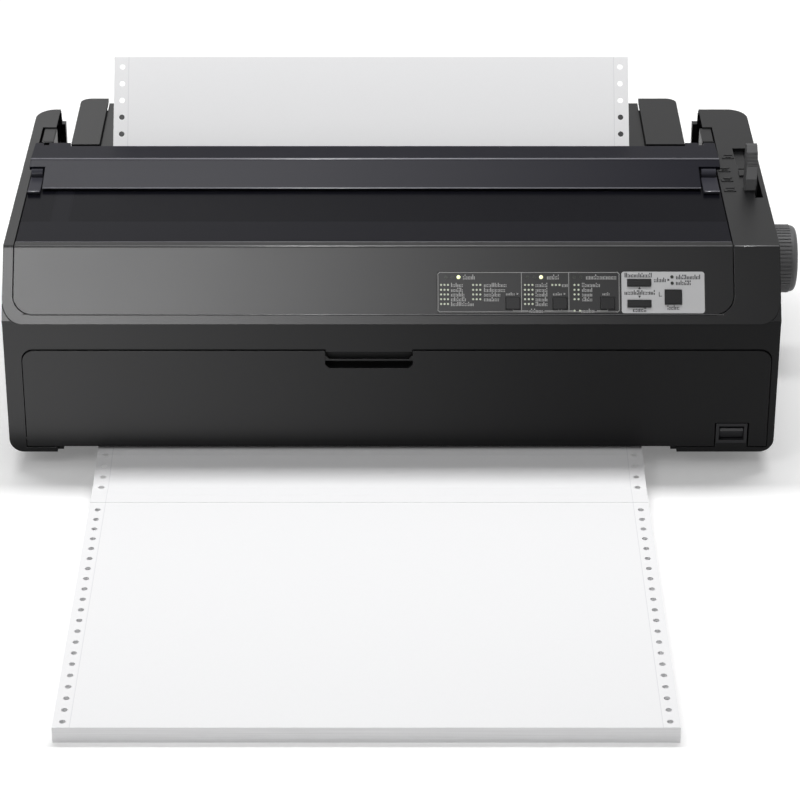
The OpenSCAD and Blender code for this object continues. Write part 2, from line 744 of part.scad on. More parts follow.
module switch_frame() {
    color(dark_c) placed() {
        difference() {
            box(switch_x, [front_y + 0.6, switch_back_y], switch_z);
            box(rocker_x + [-0.4, 0.4], [-far, switch_back_y - 3], rocker_z + [-0.4, 0.4]);
            rod(rocker_pin, rocker_pin_r + play, rocker_x[0] - 2, rocker_x[1] + 2);
        }
        // Foot that stands on the floor of the case
        box(switch_foot_x, [switch_back_y - 0.1, 44], [switch_z[0], switch_z[0] + 3]);
        box(switch_foot_x, [37, 44], [base_z + wall, switch_z[0] + 1]);
    }
}

switch_back_y = 24;
switch_foot_x = [switch_x[1] - 9.5, switch_x[1] - 2];

rocker_x = [227.2, 243.6];
rocker_z = [22.2, 32.2];
rocker_pin = [12, 27.2];
rocker_pin_r = 1.5;

module power_rocker() {
    color(key_c) placed() {
        along_x(rocker_x[0], rocker_x[1]) polygon([
            [4.2, rocker_z[0] + 0.6], [2.4, rocker_z[1] - 3.6], [3.6, rocker_z[1] - 1.8],
            [11, rocker_z[1] - 1.2], [14, rocker_pin[1] + 3], [14, rocker_pin[1] - 3], [11, rocker_z[0] + 0.9]
        ]);
        rod(rocker_pin, rocker_pin_r, rocker_x[0] - 1.6, rocker_x[1] + 1.6);
    }
}

// ---- Paper release lever ----

// Stem that passes through the slot, and the thumb piece above the deck
lever_stem = [
    [144, 96], [141, 103], [129, 142], [126.5, 151], [126.5, 159],
    [129.5, 162], [136, 162], [136, 152], [135.5, 146], [150, 104]
];
lever_tip = [
    [121.5, 157.4], [123.6, 165], [130.4, 172.5], [139.5, 178.4], [147.2, 180.9], [151.5, 180.6],
    [153.5, 179.5], [150, 175.5], [139, 166], [134, 157.8]
];
stem_x = [slot_x[0] + 0.3, slot_x[0] + 2.6];
lever_lean = 6.8;
tip_w = 7.6;
tip_ribs = 9;
tip_rib_r = 0.45;

module release_lever() {
    color(knob_c) placed() difference() {
        union() {
            along_x(stem_x[0], stem_x[1]) polygon(lever_stem);
            rod(lever_pin, lever_hub_r, lever_x[0], lever_x[1]);
            intersection() {
                union() {
                    along_x(lever_x[0] - 3, lever_x[1] + 3) polygon(lever_tip);
                    // Grip ribs on the front of the tip
                    for (i = [0:1 / tip_ribs:1])
                        rod(lever_tip[2] + i * (lever_tip[3] - lever_tip[2]), tip_rib_r,
                            lever_x[0] - 3, lever_x[1] + 3, $fn = 12);
                }
                translate([lever_x[0] - 0.7, 0, lever_tip[0][1]]) rotate([0, lever_lean, 0])
                    box([0, tip_w], [0, far], [-20, 40]);
            }
        }
        rod(lever_pin, lever_pin_r + play, lever_x[0] - 1, lever_x[1] + 1);
    }
}

bracket_x = 246;
bracket_y = [lever_pin[0] - 9, lever_pin[0] + 9];

module lever_bracket() {
    color(steel_c) placed() {
        box([frame_x + frame_t, bracket_x], bracket_y, [lever_pin[1] + 4, lever_pin[1] + 6]);
        box([bracket_x, bracket_x + 2], bracket_y, [lever_pin[1] - 8, lever_pin[1] + 6]);
        rod(lever_pin, lever_pin_r, bracket_x + 1, lever_x[1] + 0.4);
    }
}

// ---- Platen, feed train and tractors ----

module knob_outline(r) {
    step = 360 / knob_ribs;
    polygon([for (i = [0:knob_ribs - 1], e = [[0, 0], [0.5, 0], [0.58, -0.55], [0.92, -0.55]])
        (r + e[1]) * [cos((i + e[0]) * step), sin((i + e[0]) * step)]]);
}

module platen_knob() {
    color(knob_c) placed() translate([0, platen_at[0], platen_at[1]]) rotate([0, 90, 0]) difference() {
        union() {
            translate([0, 0, knob_x[0] + 8]) linear_extrude(knob_x[1] - knob_x[0] - 13) knob_outline(knob_r);
            translate([0, 0, knob_x[0]]) cylinder(r = knob_r - 1.2, h = 9);
            rotate_extrude() polygon(concat(
                [[0, knob_x[1] - 6], [knob_r - 0.7, knob_x[1] - 6]],
                [for (a = [0:15:90]) [knob_r - 4.7 + 4 * cos(a), knob_x[1] - 4 + 4 * sin(a)]],
                [[16, knob_x[1]], [14.5, knob_x[1] - 1.5], [0, knob_x[1] - 1.5]]
            ));
        }
        // Hollow back and shaft socket
        translate([0, 0, knob_x[0] - 1]) difference() {
            cylinder(r = knob_r - 4, h = 19);
            cylinder(r = 8, h = 20);
        }
        translate([0, 0, knob_x[0] - 1]) cylinder(r = shaft_r, h = 19);
    }
}

module platen_roller() {
    color(rubber_c) placed() {
        rod(platen_at, platen_r, platen_x[0], platen_x[1]);
        rod(platen_at, shaft_r, -234, knob_x[1] - 11);
        rod(platen_at, 7, -217, 217);
    }
}

// Spur gear outline with straight-sided teeth, the first tooth at angle phase
module gear_outline(n, phase) {
    r = gear_m * n / 2;
    step = 360 / n;
    polygon([for (i = [0:n - 1], e = [[-0.27, -1.15], [-0.12, 0.8], [0.12, 0.8], [0.27, -1.15]])
        (r + e[1] * gear_m) * [cos(phase + (i + e[0]) * step), sin(phase + (i + e[0]) * step)]]);
}

module gear(at, n, phase, bore, x) {
    translate([0, at[0], at[1]]) difference() {
        along_x(x[0], x[1]) gear_outline(n, phase);
        rod([0, 0], bore, x[0] - 1, x[1] + 1);
        // Lightening holes, in the larger gears only
        if (n > 36) for (a = [0:60:300])
            rod([cos(a), sin(a)] * n * gear_m * 0.3, n * gear_m * 0.09, x[0] - 1, x[1] + 1);
    }
}

module platen_gear() { color(key_c) placed() gear(platen_at, teeth[0], line_a, shaft_r, gear_x); }

module idler_gear_rear() {
    color(key_c) placed() gear(idler_rear_at, teeth[1], line_a + 180 - 180 / teeth[1], 3 + play, gear_x);
}

module idler_gear_front() {
    color(key_c) placed() gear(idler_front_at, teeth[2], line_a + 180, 3 + play, gear_x);
}

module idler_pins() {
    color(steel_c) placed() for (at = [idler_rear_at, idler_front_at]) {
        rod(at, 3, frame_x + 3, gear_x[1] + 2);
        rod(at, 4.5, gear_x[1] + 1, gear_x[1] + 2);
    }
}

module tractor_shaft() {
    color(steel_c) placed() {
        rod(tractor_at, tractor_shaft_r, -230, gear_x[1] + 3);
        gear(tractor_at, teeth[3], line_a + 180 - 180 / teeth[3], tractor_shaft_r - 0.1, gear_x);
    }
}

// Tractor unit: housing round the pin belt, under the edge of the sheet
tractor_half = 8;
tractor_top = tractor_at[1] + tractor_r;
tractor_rail_at = [66, 31];
tractor_pos = [paper_x - paper_w / 2 + hole_in, paper_x + paper_w / 2 - hole_in];
pin_at = [44.5, 44.5 + hole_pitch];
tractor_lid_out = 9.4;
tractor_lid_z = tractor_top + 3.4;
tractor_lug_y = [[38, 41], [69, 72]];
lug_r = 2.4;
lid_pin_r = 1.2;
rail_r = 3;
tractor_shaft_r = 3.5;

// Rod along the hinge line of a tractor's lid
module lid_rod(r, y0, y1) {
    translate([-tractor_lid_out, y0, tractor_lid_z]) rotate([-90, 0, 0]) cylinder(r = r, h = y1 - y0);
}

// Drawn for the left edge of the sheet, with the hinge on the outer side; side = -1 turns it over
module tractor(x, side) {
    color(dark_c) placed() translate([x, 0, 0]) mirror([side < 0 ? 1 : 0, 0, 0]) difference() {
        union() {
            for (y = tractor_y) rod([y, tractor_at[1]], tractor_r, -tractor_half, tractor_half);
            box([-tractor_half, tractor_half], tractor_y, [tractor_at[1] - tractor_r, tractor_top]);
            for (y = tractor_lug_y) {
                box([-tractor_lid_out - lug_r, -tractor_half + 1], y, [tractor_at[1] - 4, tractor_lid_z]);
                lid_rod(lug_r, y[0], y[1]);
            }
            // Feed pins under the holes of the sheet
            for (y = pin_at) translate([0, y, tractor_top - 1]) {
                cylinder(r = 1.5, h = 2.4);
                translate([0, 0, 2.4]) cylinder(r1 = 1.5, r2 = 0.8, h = 1.2);
            }
        }
        rod(tractor_at, tractor_shaft_r + play, -20, 20);
        rod(tractor_rail_at, rail_r + play, -20, 20);
        lid_rod(lid_pin_r + play, 30, 80);
    }
}

module tractor_left() { tractor(tractor_pos[0], 1); }

module tractor_right() { tractor(tractor_pos[1], -1); }

module tractor_rail() {
    color(steel_c) placed() rod(tractor_rail_at, rail_r, -frame_x - frame_t, frame_x + frame_t);
}

module tractor_lid(x, side) {
    plate_y = [tractor_lug_y[0][1] + 0.4, tractor_lug_y[1][0] - 0.4];
    color(key_c) placed() translate([x, 0, 0]) mirror([side < 0 ? 1 : 0, 0, 0]) difference() {
        union() {
            box([-tractor_lid_out, tractor_half + 1], plate_y, [tractor_lid_z - 1.4, tractor_lid_z + 0.8]);
            lid_rod(lug_r - 0.2, plate_y[0], plate_y[1]);
            lid_rod(lid_pin_r, tractor_lug_y[0][0] + 0.4, tractor_lug_y[1][1] - 0.4);
        }
        // Slot over the row of pins
        box([-2.6, 2.6], [plate_y[0] - 0.1, pin_at[1] + 3], [tractor_lid_z - 3, tractor_lid_z + 3]);
    }
}

module tractor_lid_left() { tractor_lid(tractor_pos[0], 1); }

module tractor_lid_right() { tractor_lid(tractor_pos[1], -1); }

// ---- Chassis and print mechanism ----

chassis_t = 1.5;
chassis_y = [46, 214];

module chassis() {
    color(steel_c) placed() difference() {
        box([-frame_x - frame_t, frame_x + frame_t], chassis_y, [chassis_z, chassis_z + chassis_t]);
        for (x = post_x) for (y = post_y) translate([x, y, chassis_z - 1]) cylinder(r = screw_r + 0.1, h = 4);
        for (x = [-150, -60, 60, 150]) box([x - 30, x + 30], [90, 190], [chassis_z - 1, chassis_z + 3]);
    }
}

shelf_y = [pulley_y - 12, pulley_y + 12];

module side_frame(x) {
    color(steel_c) placed() difference() {
        along_x(x, x + frame_t) polygon([
            [chassis_y[0], chassis_z + chassis_t], [chassis_y[1], chassis_z + chassis_t], [chassis_y[1], 104],
            [188, 118], [120, 118], [92, 96], [66, 62], [chassis_y[0], 52]
        ]);
        rod(platen_at, shaft_r + play, x - 1, x + 4);
        rod(rod_at, rod_r + play, x - 1, x + 4);
        rod(tractor_at, tractor_shaft_r + play, x - 1, x + 4);
        rod(tractor_rail_at, rail_r + play, x - 1, x + 4);
        if (x < 0) box([x - 1, x + 4], shelf_y, belt_z + [-1, 1]);
    }
    // Shelf that carries the plain end pulley of the carriage belt
    if (x > 0) color(steel_c) placed() difference() {
        box([pulley_x[1] - 10, x + 1], shelf_y, [belt_z[0] - 8, belt_z[0] - 6]);
        translate([pulley_x[1], pulley_y, 0]) cylinder(r = pulley_shaft_r + play, h = over);
    }
}

module side_frame_left() { side_frame(-frame_x - frame_t); }

module side_frame_right() { side_frame(frame_x); }

module carriage_rod() { color(steel_c) placed() rod(rod_at, rod_r, -frame_x - frame_t, frame_x + frame_t); }

// Carriage and head stand near the left end, where the carriage parks
carriage_x = [-176, -126];
head_tip = platen_at[0] - platen_r - 1.3;

module carriage() {
    color(dark_c) placed() difference() {
        union() {
            box(carriage_x, [rod_at[0] - 22, rod_at[0] + 16], [rod_at[1] - 9, rod_at[1] + 9]);
            box(carriage_x + [4, -4], [rod_at[0] - 22, rod_at[0] - 12], [belt_z[0] - 2, rod_at[1] - 6]);
        }
        rod(rod_at, rod_r + play, carriage_x[0] - 1, carriage_x[1] + 1);
        // Slot that grips the front strand of the belt
        box(carriage_x + [-1, 1], [pulley_y - pulley_r - 2.6, pulley_y - pulley_r + 0.6], belt_z + [-0.4, 0.4]);
    }
}

module print_head() {
    mid = (carriage_x[0] + carriage_x[1]) / 2;
    color(steel_c) placed() {
        box([mid - 20, mid + 20], [rod_at[0] - 18, rod_at[0] + 8], [rod_at[1] + 9, rod_at[1] + 15]);
        along_x(mid - 4, mid + 4) polygon([
            [rod_at[0] + 7, rod_at[1] + 15], [rod_at[0] + 7, rod_at[1] + 9.2], [head_tip, platen_at[1] - 3.5],
            [head_tip, platen_at[1] + 3.5]
        ]);
        for (y = [rod_at[0] - 18:3.6:rod_at[0] + 4])
            box([mid - 20, mid + 20], [y, y + 1.6], [rod_at[1] + 14.9, rod_at[1] + 25]);
    }
}

ribbon_y = [58, 100];
ribbon_z = [96, 116];
ribbon_x = [-196, 196];
ribbon_arm_z = [ribbon_z[0] + 2, ribbon_z[0] + 12];
ribbon_knob_at = [-150, 78];
winder_r = 2.5;

module ribbon_cartridge() {
    color(rubber_c) placed() difference() {
        union() {
            translate([0, 0, ribbon_z[0]]) linear_extrude(ribbon_z[1] - ribbon_z[0])
                round_box([ribbon_x[0], ribbon_y[0]], [ribbon_x[1], ribbon_y[1]], [10, 10, 4, 4]);
            for (x = [ribbon_x[0] - 14, ribbon_x[1] + 2]) box([x, x + 12], [70, 158], ribbon_arm_z);
            for (x = [ribbon_x[0] - 3, ribbon_x[1] - 1]) box([x, x + 4], [72, 96], ribbon_arm_z);
        }
        translate([ribbon_knob_at[0], ribbon_knob_at[1], ribbon_z[1] - 8])
            cylinder(r = winder_r + play, h = 10);
    }
}

module ribbon_knob() {
    color(key_c) placed() translate([ribbon_knob_at[0], ribbon_knob_at[1], 0]) {
        translate([0, 0, ribbon_z[1] - 7.6]) cylinder(r = winder_r, h = 9);
        translate([0, 0, ribbon_z[1] + 0.5]) linear_extrude(7) knob_outline_small(10);
    }
}

module knob_outline_small(r) {
    polygon([for (i = [0:35]) (r - (i % 2) * 0.8) * [cos(i * 10), sin(i * 10)]]);
}

pulley_shaft_r = 2;

module belt_pulley(x) {
    belt_w = belt_z[1] - belt_z[0];
    color(steel_c) placed() translate([x, pulley_y, belt_z[0]]) {
        translate([0, 0, -0.2]) cylinder(r = pulley_r - 0.3, h = belt_w + 0.4);
        for (z = [-1.4, belt_w + 0.3]) translate([0, 0, z]) cylinder(r = pulley_r + 1.5, h = 1.1);
        translate([0, 0, -9]) cylinder(r = pulley_shaft_r, h = belt_w + 11);
    }
}

module belt_pulley_left() { belt_pulley(pulley_x[0]); }

module belt_pulley_right() { belt_pulley(pulley_x[1]); }

module carriage_belt() {
    color(rubber_c) placed() for (side = [-1, 1]) translate([0, pulley_y + side * (pulley_r + 0.6), 0])
        box(pulley_x, [-0.6, 0.6], belt_z);
}

module carriage_motor() {
    color(steel_c) placed() {
        difference() {
            translate([pulley_x[0], pulley_y, chassis_z + chassis_t])
                cylinder(r = 16, h = belt_z[0] - 5 - chassis_z - chassis_t);
            translate([pulley_x[0], pulley_y, 30]) cylinder(r = pulley_shaft_r + play, h = 40);
        }
        box([pulley_x[0] - 6, -frame_x - frame_t], shelf_y, [chassis_z, chassis_z + chassis_t]);
    }
}

module feed_motor() {
    color(steel_c) placed() {
        rod([202, 46], 18, 184, 221);
        box([190, 218], [184, 199], [chassis_z + 1.5, 30]);
    }
}

module main_board() {
    color(board_c) placed() {
        box([-60, 210], [222, 292], [22, 23.6]);
        for (x = [-20, 60, 150]) box([x - 14, x + 14], [236, 258], [23.5, 27]);
        for (x = [-50, 200]) for (y = [228, 286]) translate([x, y, base_z + wall]) cylinder(r = 3, h = 6.6);
    }
}

module power_supply() {
    color(steel_c) placed() difference() {
        box([-250, -96], [222, 290], [base_z + wall, 62]);
        for (x = [-240:13:-110]) box([x, x + 7], [230, 282], [60, over]);
    }
}

// Shell of a socket in the back wall, open to the back
module socket_shell(p, y0, t) {
    difference() {
        box(p[0], [y0, case_d], p[1]);
        box(p[0] + [t, -t], [294, far], p[1] + [t, -t]);
    }
}

module power_inlet() {
    mid = [(sockets[0][0][0] + sockets[0][0][1]) / 2, (sockets[0][1][0] + sockets[0][1][1]) / 2];
    color(dark_c) placed() socket_shell(sockets[0], 290.2, 3);
    // Three pins, the middle one higher
    color(steel_c) placed() for (pin = [[-6, -2], [0, 4], [6, -2]])
        translate([mid[0] + pin[0], 0, mid[1] + pin[1]]) box([-1, 1], [293, 297], [-2, 2]);
}

module data_ports() {
    color(steel_c) placed() for (i = [1, 2]) socket_shell(sockets[i], 292.2, 2);
}

// ---- Paper ----

hole_fn = 24;

module paper_holes(y0, count) {
    for (i = [0:count - 1]) for (side = [-1, 1])
        translate([paper_x + side * (paper_w / 2 - hole_in), y0 + i * hole_pitch, -1])
            cylinder(r = hole_r, h = 30, $fn = hole_fn);
}

module paper_pile() {
    color(paper_c) placed() difference() {
        box([paper_x - paper_w / 2, paper_x + paper_w / 2], pile_y, [0, pile_h]);
        paper_holes(pile_y[0] + hole_pitch / 2, round(page_l / hole_pitch));
    }
}

// Centre line of the sheet from the pile round the platen to its free end
web_path = concat(
    feed_path,
    [for (a = [180:-6:180 - 90 + exit_a]) platen_at + web_r * [cos(a), sin(a)]],
    [exit_end]
);

module paper_web() {
    n = len(web_path);
    function normal(i) = let (d = web_path[min(i + 1, n - 1)] - web_path[max(i - 1, 0)])
        [-d[1], d[0]] / norm(d);
    color(paper_c) placed() difference() {
        along_x(paper_x - paper_w / 2, paper_x + paper_w / 2) polygon(concat(
            [for (i = [0:n - 1]) web_path[i] + normal(i) * paper_t / 2],
            [for (i = [n - 1:-1:0]) web_path[i] - normal(i) * paper_t / 2]
        ));
        for (i = [0:6]) for (side = [-1, 1])
            translate([paper_x + side * (paper_w / 2 - hole_in), exit_end[0], exit_end[1]])
                rotate([exit_a, 0, 0]) translate([0, -first_hole - i * hole_pitch, -5])
                cylinder(r = hole_r, h = 10, $fn = hole_fn);
        for (y = concat([for (i = [0:3]) -44 + i * hole_pitch], pin_at)) for (side = [-1, 1])
            translate([paper_x + side * (paper_w / 2 - hole_in), y, 5])
            cylinder(r = hole_r, h = 50, $fn = hole_fn);
    }
}

lower_case();
upper_case();
rubber_feet();
case_screws();
control_panel();
panel_key_label();
panel_mode_label();
panel_lamps();
load_key();
line_feed_key();
pause_key();
font_key();
pitch_key();
menu_key();
printer_cover();
paper_flap();
paper_guide();
edge_guide_left();
edge_guide_right();
front_cover();
switch_frame();
power_rocker();
release_lever();
lever_bracket();
platen_knob();
platen_roller();
platen_gear();
idler_gear_rear();
idler_gear_front();
idler_pins();
tractor_shaft();
tractor_left();
tractor_right();
tractor_lid_left();
tractor_lid_right();
tractor_rail();
chassis();
side_frame_left();
side_frame_right();
carriage_rod();
carriage();
print_head();
ribbon_cartridge();
ribbon_knob();
belt_pulley_left();
belt_pulley_right();
carriage_belt();
carriage_motor();
feed_motor();
main_board();
power_supply();
power_inlet();
data_ports();
paper_pile();
paper_web();
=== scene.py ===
# %% [markdown]
# # A wide dot matrix printer, dressed for its portrait
# The solids of this printer come packed from CAD, with every hinge and slide already in place.
# This lesson gives them their looks. We set up a camera, a soft studio, the plastics, metals and
# paper, and then the small pieces that are finer than a solid model needs: the printed panel, the
# lamp lenses, the leaves of the paper pile. The CAD shapes are never moved, only finished.

import math
import random

import bmesh
import bpy
from mathutils import Matrix, Vector


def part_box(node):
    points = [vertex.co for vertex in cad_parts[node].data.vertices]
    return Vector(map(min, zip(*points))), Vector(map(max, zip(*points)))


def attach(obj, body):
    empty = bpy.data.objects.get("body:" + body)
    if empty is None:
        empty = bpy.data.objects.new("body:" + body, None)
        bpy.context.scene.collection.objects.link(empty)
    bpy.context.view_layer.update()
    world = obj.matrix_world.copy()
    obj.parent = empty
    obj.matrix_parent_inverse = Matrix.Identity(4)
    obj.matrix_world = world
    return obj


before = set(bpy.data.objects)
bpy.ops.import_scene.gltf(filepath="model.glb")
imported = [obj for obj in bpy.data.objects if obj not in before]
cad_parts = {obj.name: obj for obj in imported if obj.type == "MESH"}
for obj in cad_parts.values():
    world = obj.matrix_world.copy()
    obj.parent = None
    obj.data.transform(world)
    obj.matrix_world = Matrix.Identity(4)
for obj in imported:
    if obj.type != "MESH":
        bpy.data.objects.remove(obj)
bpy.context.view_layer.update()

# %% [markdown]
# ## Places
# A maker measures a printer from its front face, its middle and the table. The frame measures from
# the middle of the whole model. One small function turns the first into the second, in metres, so
# that every place below can be read off the object with a ruler, in millimetres.

# %% Millimetres on the printer, metres in the scene
MM = 0.001
FRONT_INSET = 1.0  # the case's front wall stands this far behind the front line

case_low, case_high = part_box("lower_case")
origin = Vector(((case_low.x + case_high.x) / 2, case_low.y - FRONT_INSET * MM, 0))


def at(x, y, z):
    """A point of the printer: right of its middle, behind its front line, above the table."""
    return origin + Vector((x, y, z)) * MM


print("the printer's own zero is at", [round(v, 4) for v in origin])

# %% [markdown]
# ## Camera
# A product portrait is taken from some distance with a long lens, so that the sides hardly
# converge. The camera stands 1.9 m in front and a metre up, and looks down by 28 degrees.

# %% Camera
CAMERA_AT = (1.0, -1899.0, 1067.8)
CAMERA_DOWN = 28.09  # degrees below the horizon
SENSOR_MM = 36.0
FOCAL_MM = 140.76
SHIFT_RIGHT = 0.00875  # of the frame's width
VIEW_FROM, VIEW_TO = 0.05, 50.0  # metres from the lens

lens = bpy.data.cameras.new("portrait_lens")
lens.sensor_width = SENSOR_MM
lens.lens = FOCAL_MM
lens.shift_x = SHIFT_RIGHT
lens.clip_start, lens.clip_end = VIEW_FROM, VIEW_TO
camera = bpy.data.objects.new("portrait_camera", lens)
camera.location = at(*CAMERA_AT)
camera.rotation_euler = (math.radians(90.0 - CAMERA_DOWN), 0.0, 0.0)
bpy.context.scene.collection.objects.link(camera)
bpy.context.scene.camera = camera
print("camera at", [round(v, 3) for v in camera.location])

# %% [markdown]
# ## Node helpers
# A material is a small tree of nodes. One function adds a node, gives its properties, and fills
# its inputs: a number or a colour is set on the socket, and another node's output is linked to it.
# The short functions after it name the jobs that come back in every tree: a sum, a change of
# range, a blend of two colours, and a cloudy pattern. Colours are written as the sRGB hex values
# that a colour picker shows, so one function turns them to the linear light that the renderer
# adds up.

# %% Colours


def linear(hex_colour):
    """An sRGB hex colour such as '#3a3a3b' as linear red, green, blue, alpha."""
    channels = [int(hex_colour[i : i + 2], 16) / 255 for i in (1, 3, 5)]
    toe = [c / 12.92 if c <= 0.04045 else ((c + 0.055) / 1.055) ** 2.4 for c in channels]
    return (*toe, 1.0)


def shades(hex_colour, step):
    """A darker and a lighter shade of a colour, for a surface that is never quite even."""
    base = linear(hex_colour)[:3]
    darker = (*(c * (1 - step) for c in base), 1.0)
    lighter = (*(min(1.0, c * (1 + step)) for c in base), 1.0)
    return darker, lighter


print("white paper in linear light:", [round(c, 3) for c in linear("#f4f4f5")])

# %% Nodes


def add_node(tree, kind, inputs=None, **properties):
    """Adds one node, sets its properties, and sets or links each named input."""
    node = tree.nodes.new(kind)
    for name, value in properties.items():
        setattr(node, name, value)
    for name, value in (inputs or {}).items():
        socket = node.inputs[name]
        if isinstance(value, bpy.types.NodeSocket):
            tree.links.new(value, socket)
        else:
            socket.default_value = value
    return node


def compute(tree, operation, first, second=0.0):
    """One sum with two values."""
    return add_node(tree, "ShaderNodeMath", {0: first, 1: second}, operation=operation).outputs[0]


def remap(tree, value, before=(0.0, 1.0), after=(0.0, 1.0), kind="LINEAR"):
    """Carries a value from one range over to another, straight or with soft ends."""
    inputs = {
        "Value": value,
        "From Min": before[0],
        "From Max": before[1],
        "To Min": after[0],
        "To Max": after[1],
    }
    node = add_node(tree, "ShaderNodeMapRange", inputs, interpolation_type=kind)
    return node.outputs["Result"]


def blend(tree, factor, first, second):
    """The first colour where the factor is 0, the second where it is 1."""
    inputs = {"Factor": factor, "A": first, "B": second}
    return add_node(tree, "ShaderNodeMix", inputs, data_type="RGBA").outputs["Result"]


def clouds(tree, spot, per_metre, detail=2.0, roughness=0.5):
    """A cloudy pattern with so many marks to the metre."""
    inputs = {"Vector": spot, "Scale": per_metre, "Detail": detail, "Roughness": roughness}
    return add_node(tree, "ShaderNodeTexNoise", inputs).outputs["Fac"]


def within(tree, value, low, high, soft):
    """1 between two places along an axis, with soft ends, all in metres."""
    rise = remap(tree, value, (low - soft, low + soft), kind="SMOOTHSTEP")
    fall = remap(tree, value, (high - soft, high + soft), (1.0, 0.0), "SMOOTHSTEP")
    return compute(tree, "MULTIPLY", rise, fall)


def new_material(name):
    """An empty material with its output, its tree and its Object coordinates."""
    material = bpy.data.materials.new(name)
    material.use_nodes = True
    tree = material.node_tree
    tree.nodes.clear()
    output = add_node(tree, "ShaderNodeOutputMaterial")
    coordinates = add_node(tree, "ShaderNodeTexCoord")
    return material, tree, output, coordinates.outputs["Object"]


def finish_material(tree, output, inputs):
    """The Principled shader that every material here ends in."""
    shader = add_node(tree, "ShaderNodeBsdfPrincipled", inputs)
    tree.links.new(shader.outputs["BSDF"], output.inputs["Surface"])


print("node helpers ready")

# %% [markdown]
# ## Studio
# Dark satin plastic is lit by what it mirrors. The paper gets its light from the room, from a long
# strip lamp overhead and from a key lamp in front on the left. The strip also draws a fine line
# along every rounded edge. Four more soft cards are there for the gloss alone: one above the
# sloping panel, one behind for the flat top, one behind for the exit flap, and one low in front
# for the cover. Each fades from left to right, as a soft box does towards its edge, and that gives
# the case its long fall of light. The floor is a plain white sheet. It takes the printer's shadow
# like any other surface.

# %% Floor
FLOOR_SIZE = 30.0  # metres
FLOOR_ROUGHNESS = 0.9
FLOOR_GLOSS = 0.1
FLOOR_LIFT = 0.17  # what the lens and the gloss see of the sheet beyond the lamps' own light
FLOOR_CLOUDS = 0.6  # to the metre

floor_mesh = bpy.data.meshes.new("floor")
shape = bmesh.new()
bmesh.ops.create_grid(shape, x_segments=1, y_segments=1, size=FLOOR_SIZE / 2)
shape.to_mesh(floor_mesh)
shape.free()
floor = bpy.data.objects.new("floor", floor_mesh)
bpy.context.scene.collection.objects.link(floor)


def plain_view_rays(tree):
    """1 for rays from the lens, and for those that metal and glass send on; 0 for the rest."""
    rays = add_node(tree, "ShaderNodeLightPath").outputs
    direct = compute(tree, "MAXIMUM", rays["Is Camera Ray"], rays["Is Transmission Ray"])
    return compute(tree, "MAXIMUM", direct, rays["Is Glossy Ray"])


# Matt white sheet: a floor that the eye takes for plain white, with the printer's shadow on it
floor_paint, tree, output, spot = new_material("matt_white_floor")
cloudy = clouds(tree, spot, FLOOR_CLOUDS)
finish_material(
    tree,
    output,
    {
        "Base Color": blend(tree, cloudy, linear("#f7f7f7"), linear("#fbfbfb")),
        "Roughness": FLOOR_ROUGHNESS,
        "Specular IOR Level": FLOOR_GLOSS,
        "Emission Color": linear("#ffffff"),
        "Emission Strength": compute(tree, "MULTIPLY", plain_view_rays(tree), FLOOR_LIFT),
    },
)
floor_mesh.materials.append(floor_paint)
print("floor", FLOOR_SIZE, "m square")

# %% Room
ROOM_LIGHT = 0.32  # what the room gives to matt surfaces, where white paper in full light is 1

room = bpy.data.worlds.new("soft_room")
bpy.context.scene.world = room
bpy.context.scene.view_settings.view_transform = "Standard"
room.use_nodes = True
tree = room.node_tree
tree.nodes.clear()
strength = remap(tree, plain_view_rays(tree), after=(ROOM_LIGHT, 1.0))
background = add_node(
    tree, "ShaderNodeBackground", {"Color": linear("#ffffff"), "Strength": strength}
)
add_node(tree, "ShaderNodeOutputWorld", {"Surface": background.outputs["Background"]})
print("room light", ROOM_LIGHT)

# %% [markdown]
# ## Lamps
# A lamp is given here by how bright its face looks, where white paper in full light is 1, and
# Blender wants watts: they are the brightness times pi times the area. A fade is drawn on the
# lamp's face with its own parametric coordinate, which runs from 0 to 1 across its width. What
# fades is a card, and only gloss sees it. The flap's card lights nothing but the flap.

# %% Soft lamps
# name, centre, the point it faces, width and depth in metres, brightness, fade from and to
MIDDLE = (0, 60, 120)
LAMPS = [
    ("strip_lamp", (0, 430, 1600), MIDDLE, (1.9, 0.3), 13.4, None),
    ("key_lamp", (-1500, -1700, 2100), MIDDLE, (1.0, 1.0), 2.8, None),
    ("panel_card", (-100, -770, 1000), (-100, 20, 135), (1.3, 0.5), 43.0, (0.15, 0.75)),
    ("top_card", (-100, 1470, 860), (-100, 150, 156), (1.3, 0.5), 1.35, (0.18, 0.8)),
    ("flap_card", (-100, 976, 1157), (-100, 140, 161), (1.3, 0.5), 23.0, (0.28, 1.0)),
    ("front_card", (-150, -290, 14), (-150, -290, 500), (1.0, 0.54), 5.1, (0.22, 0.86)),
]
LIGHTS_ONLY = {"flap_card": "paper_flap"}


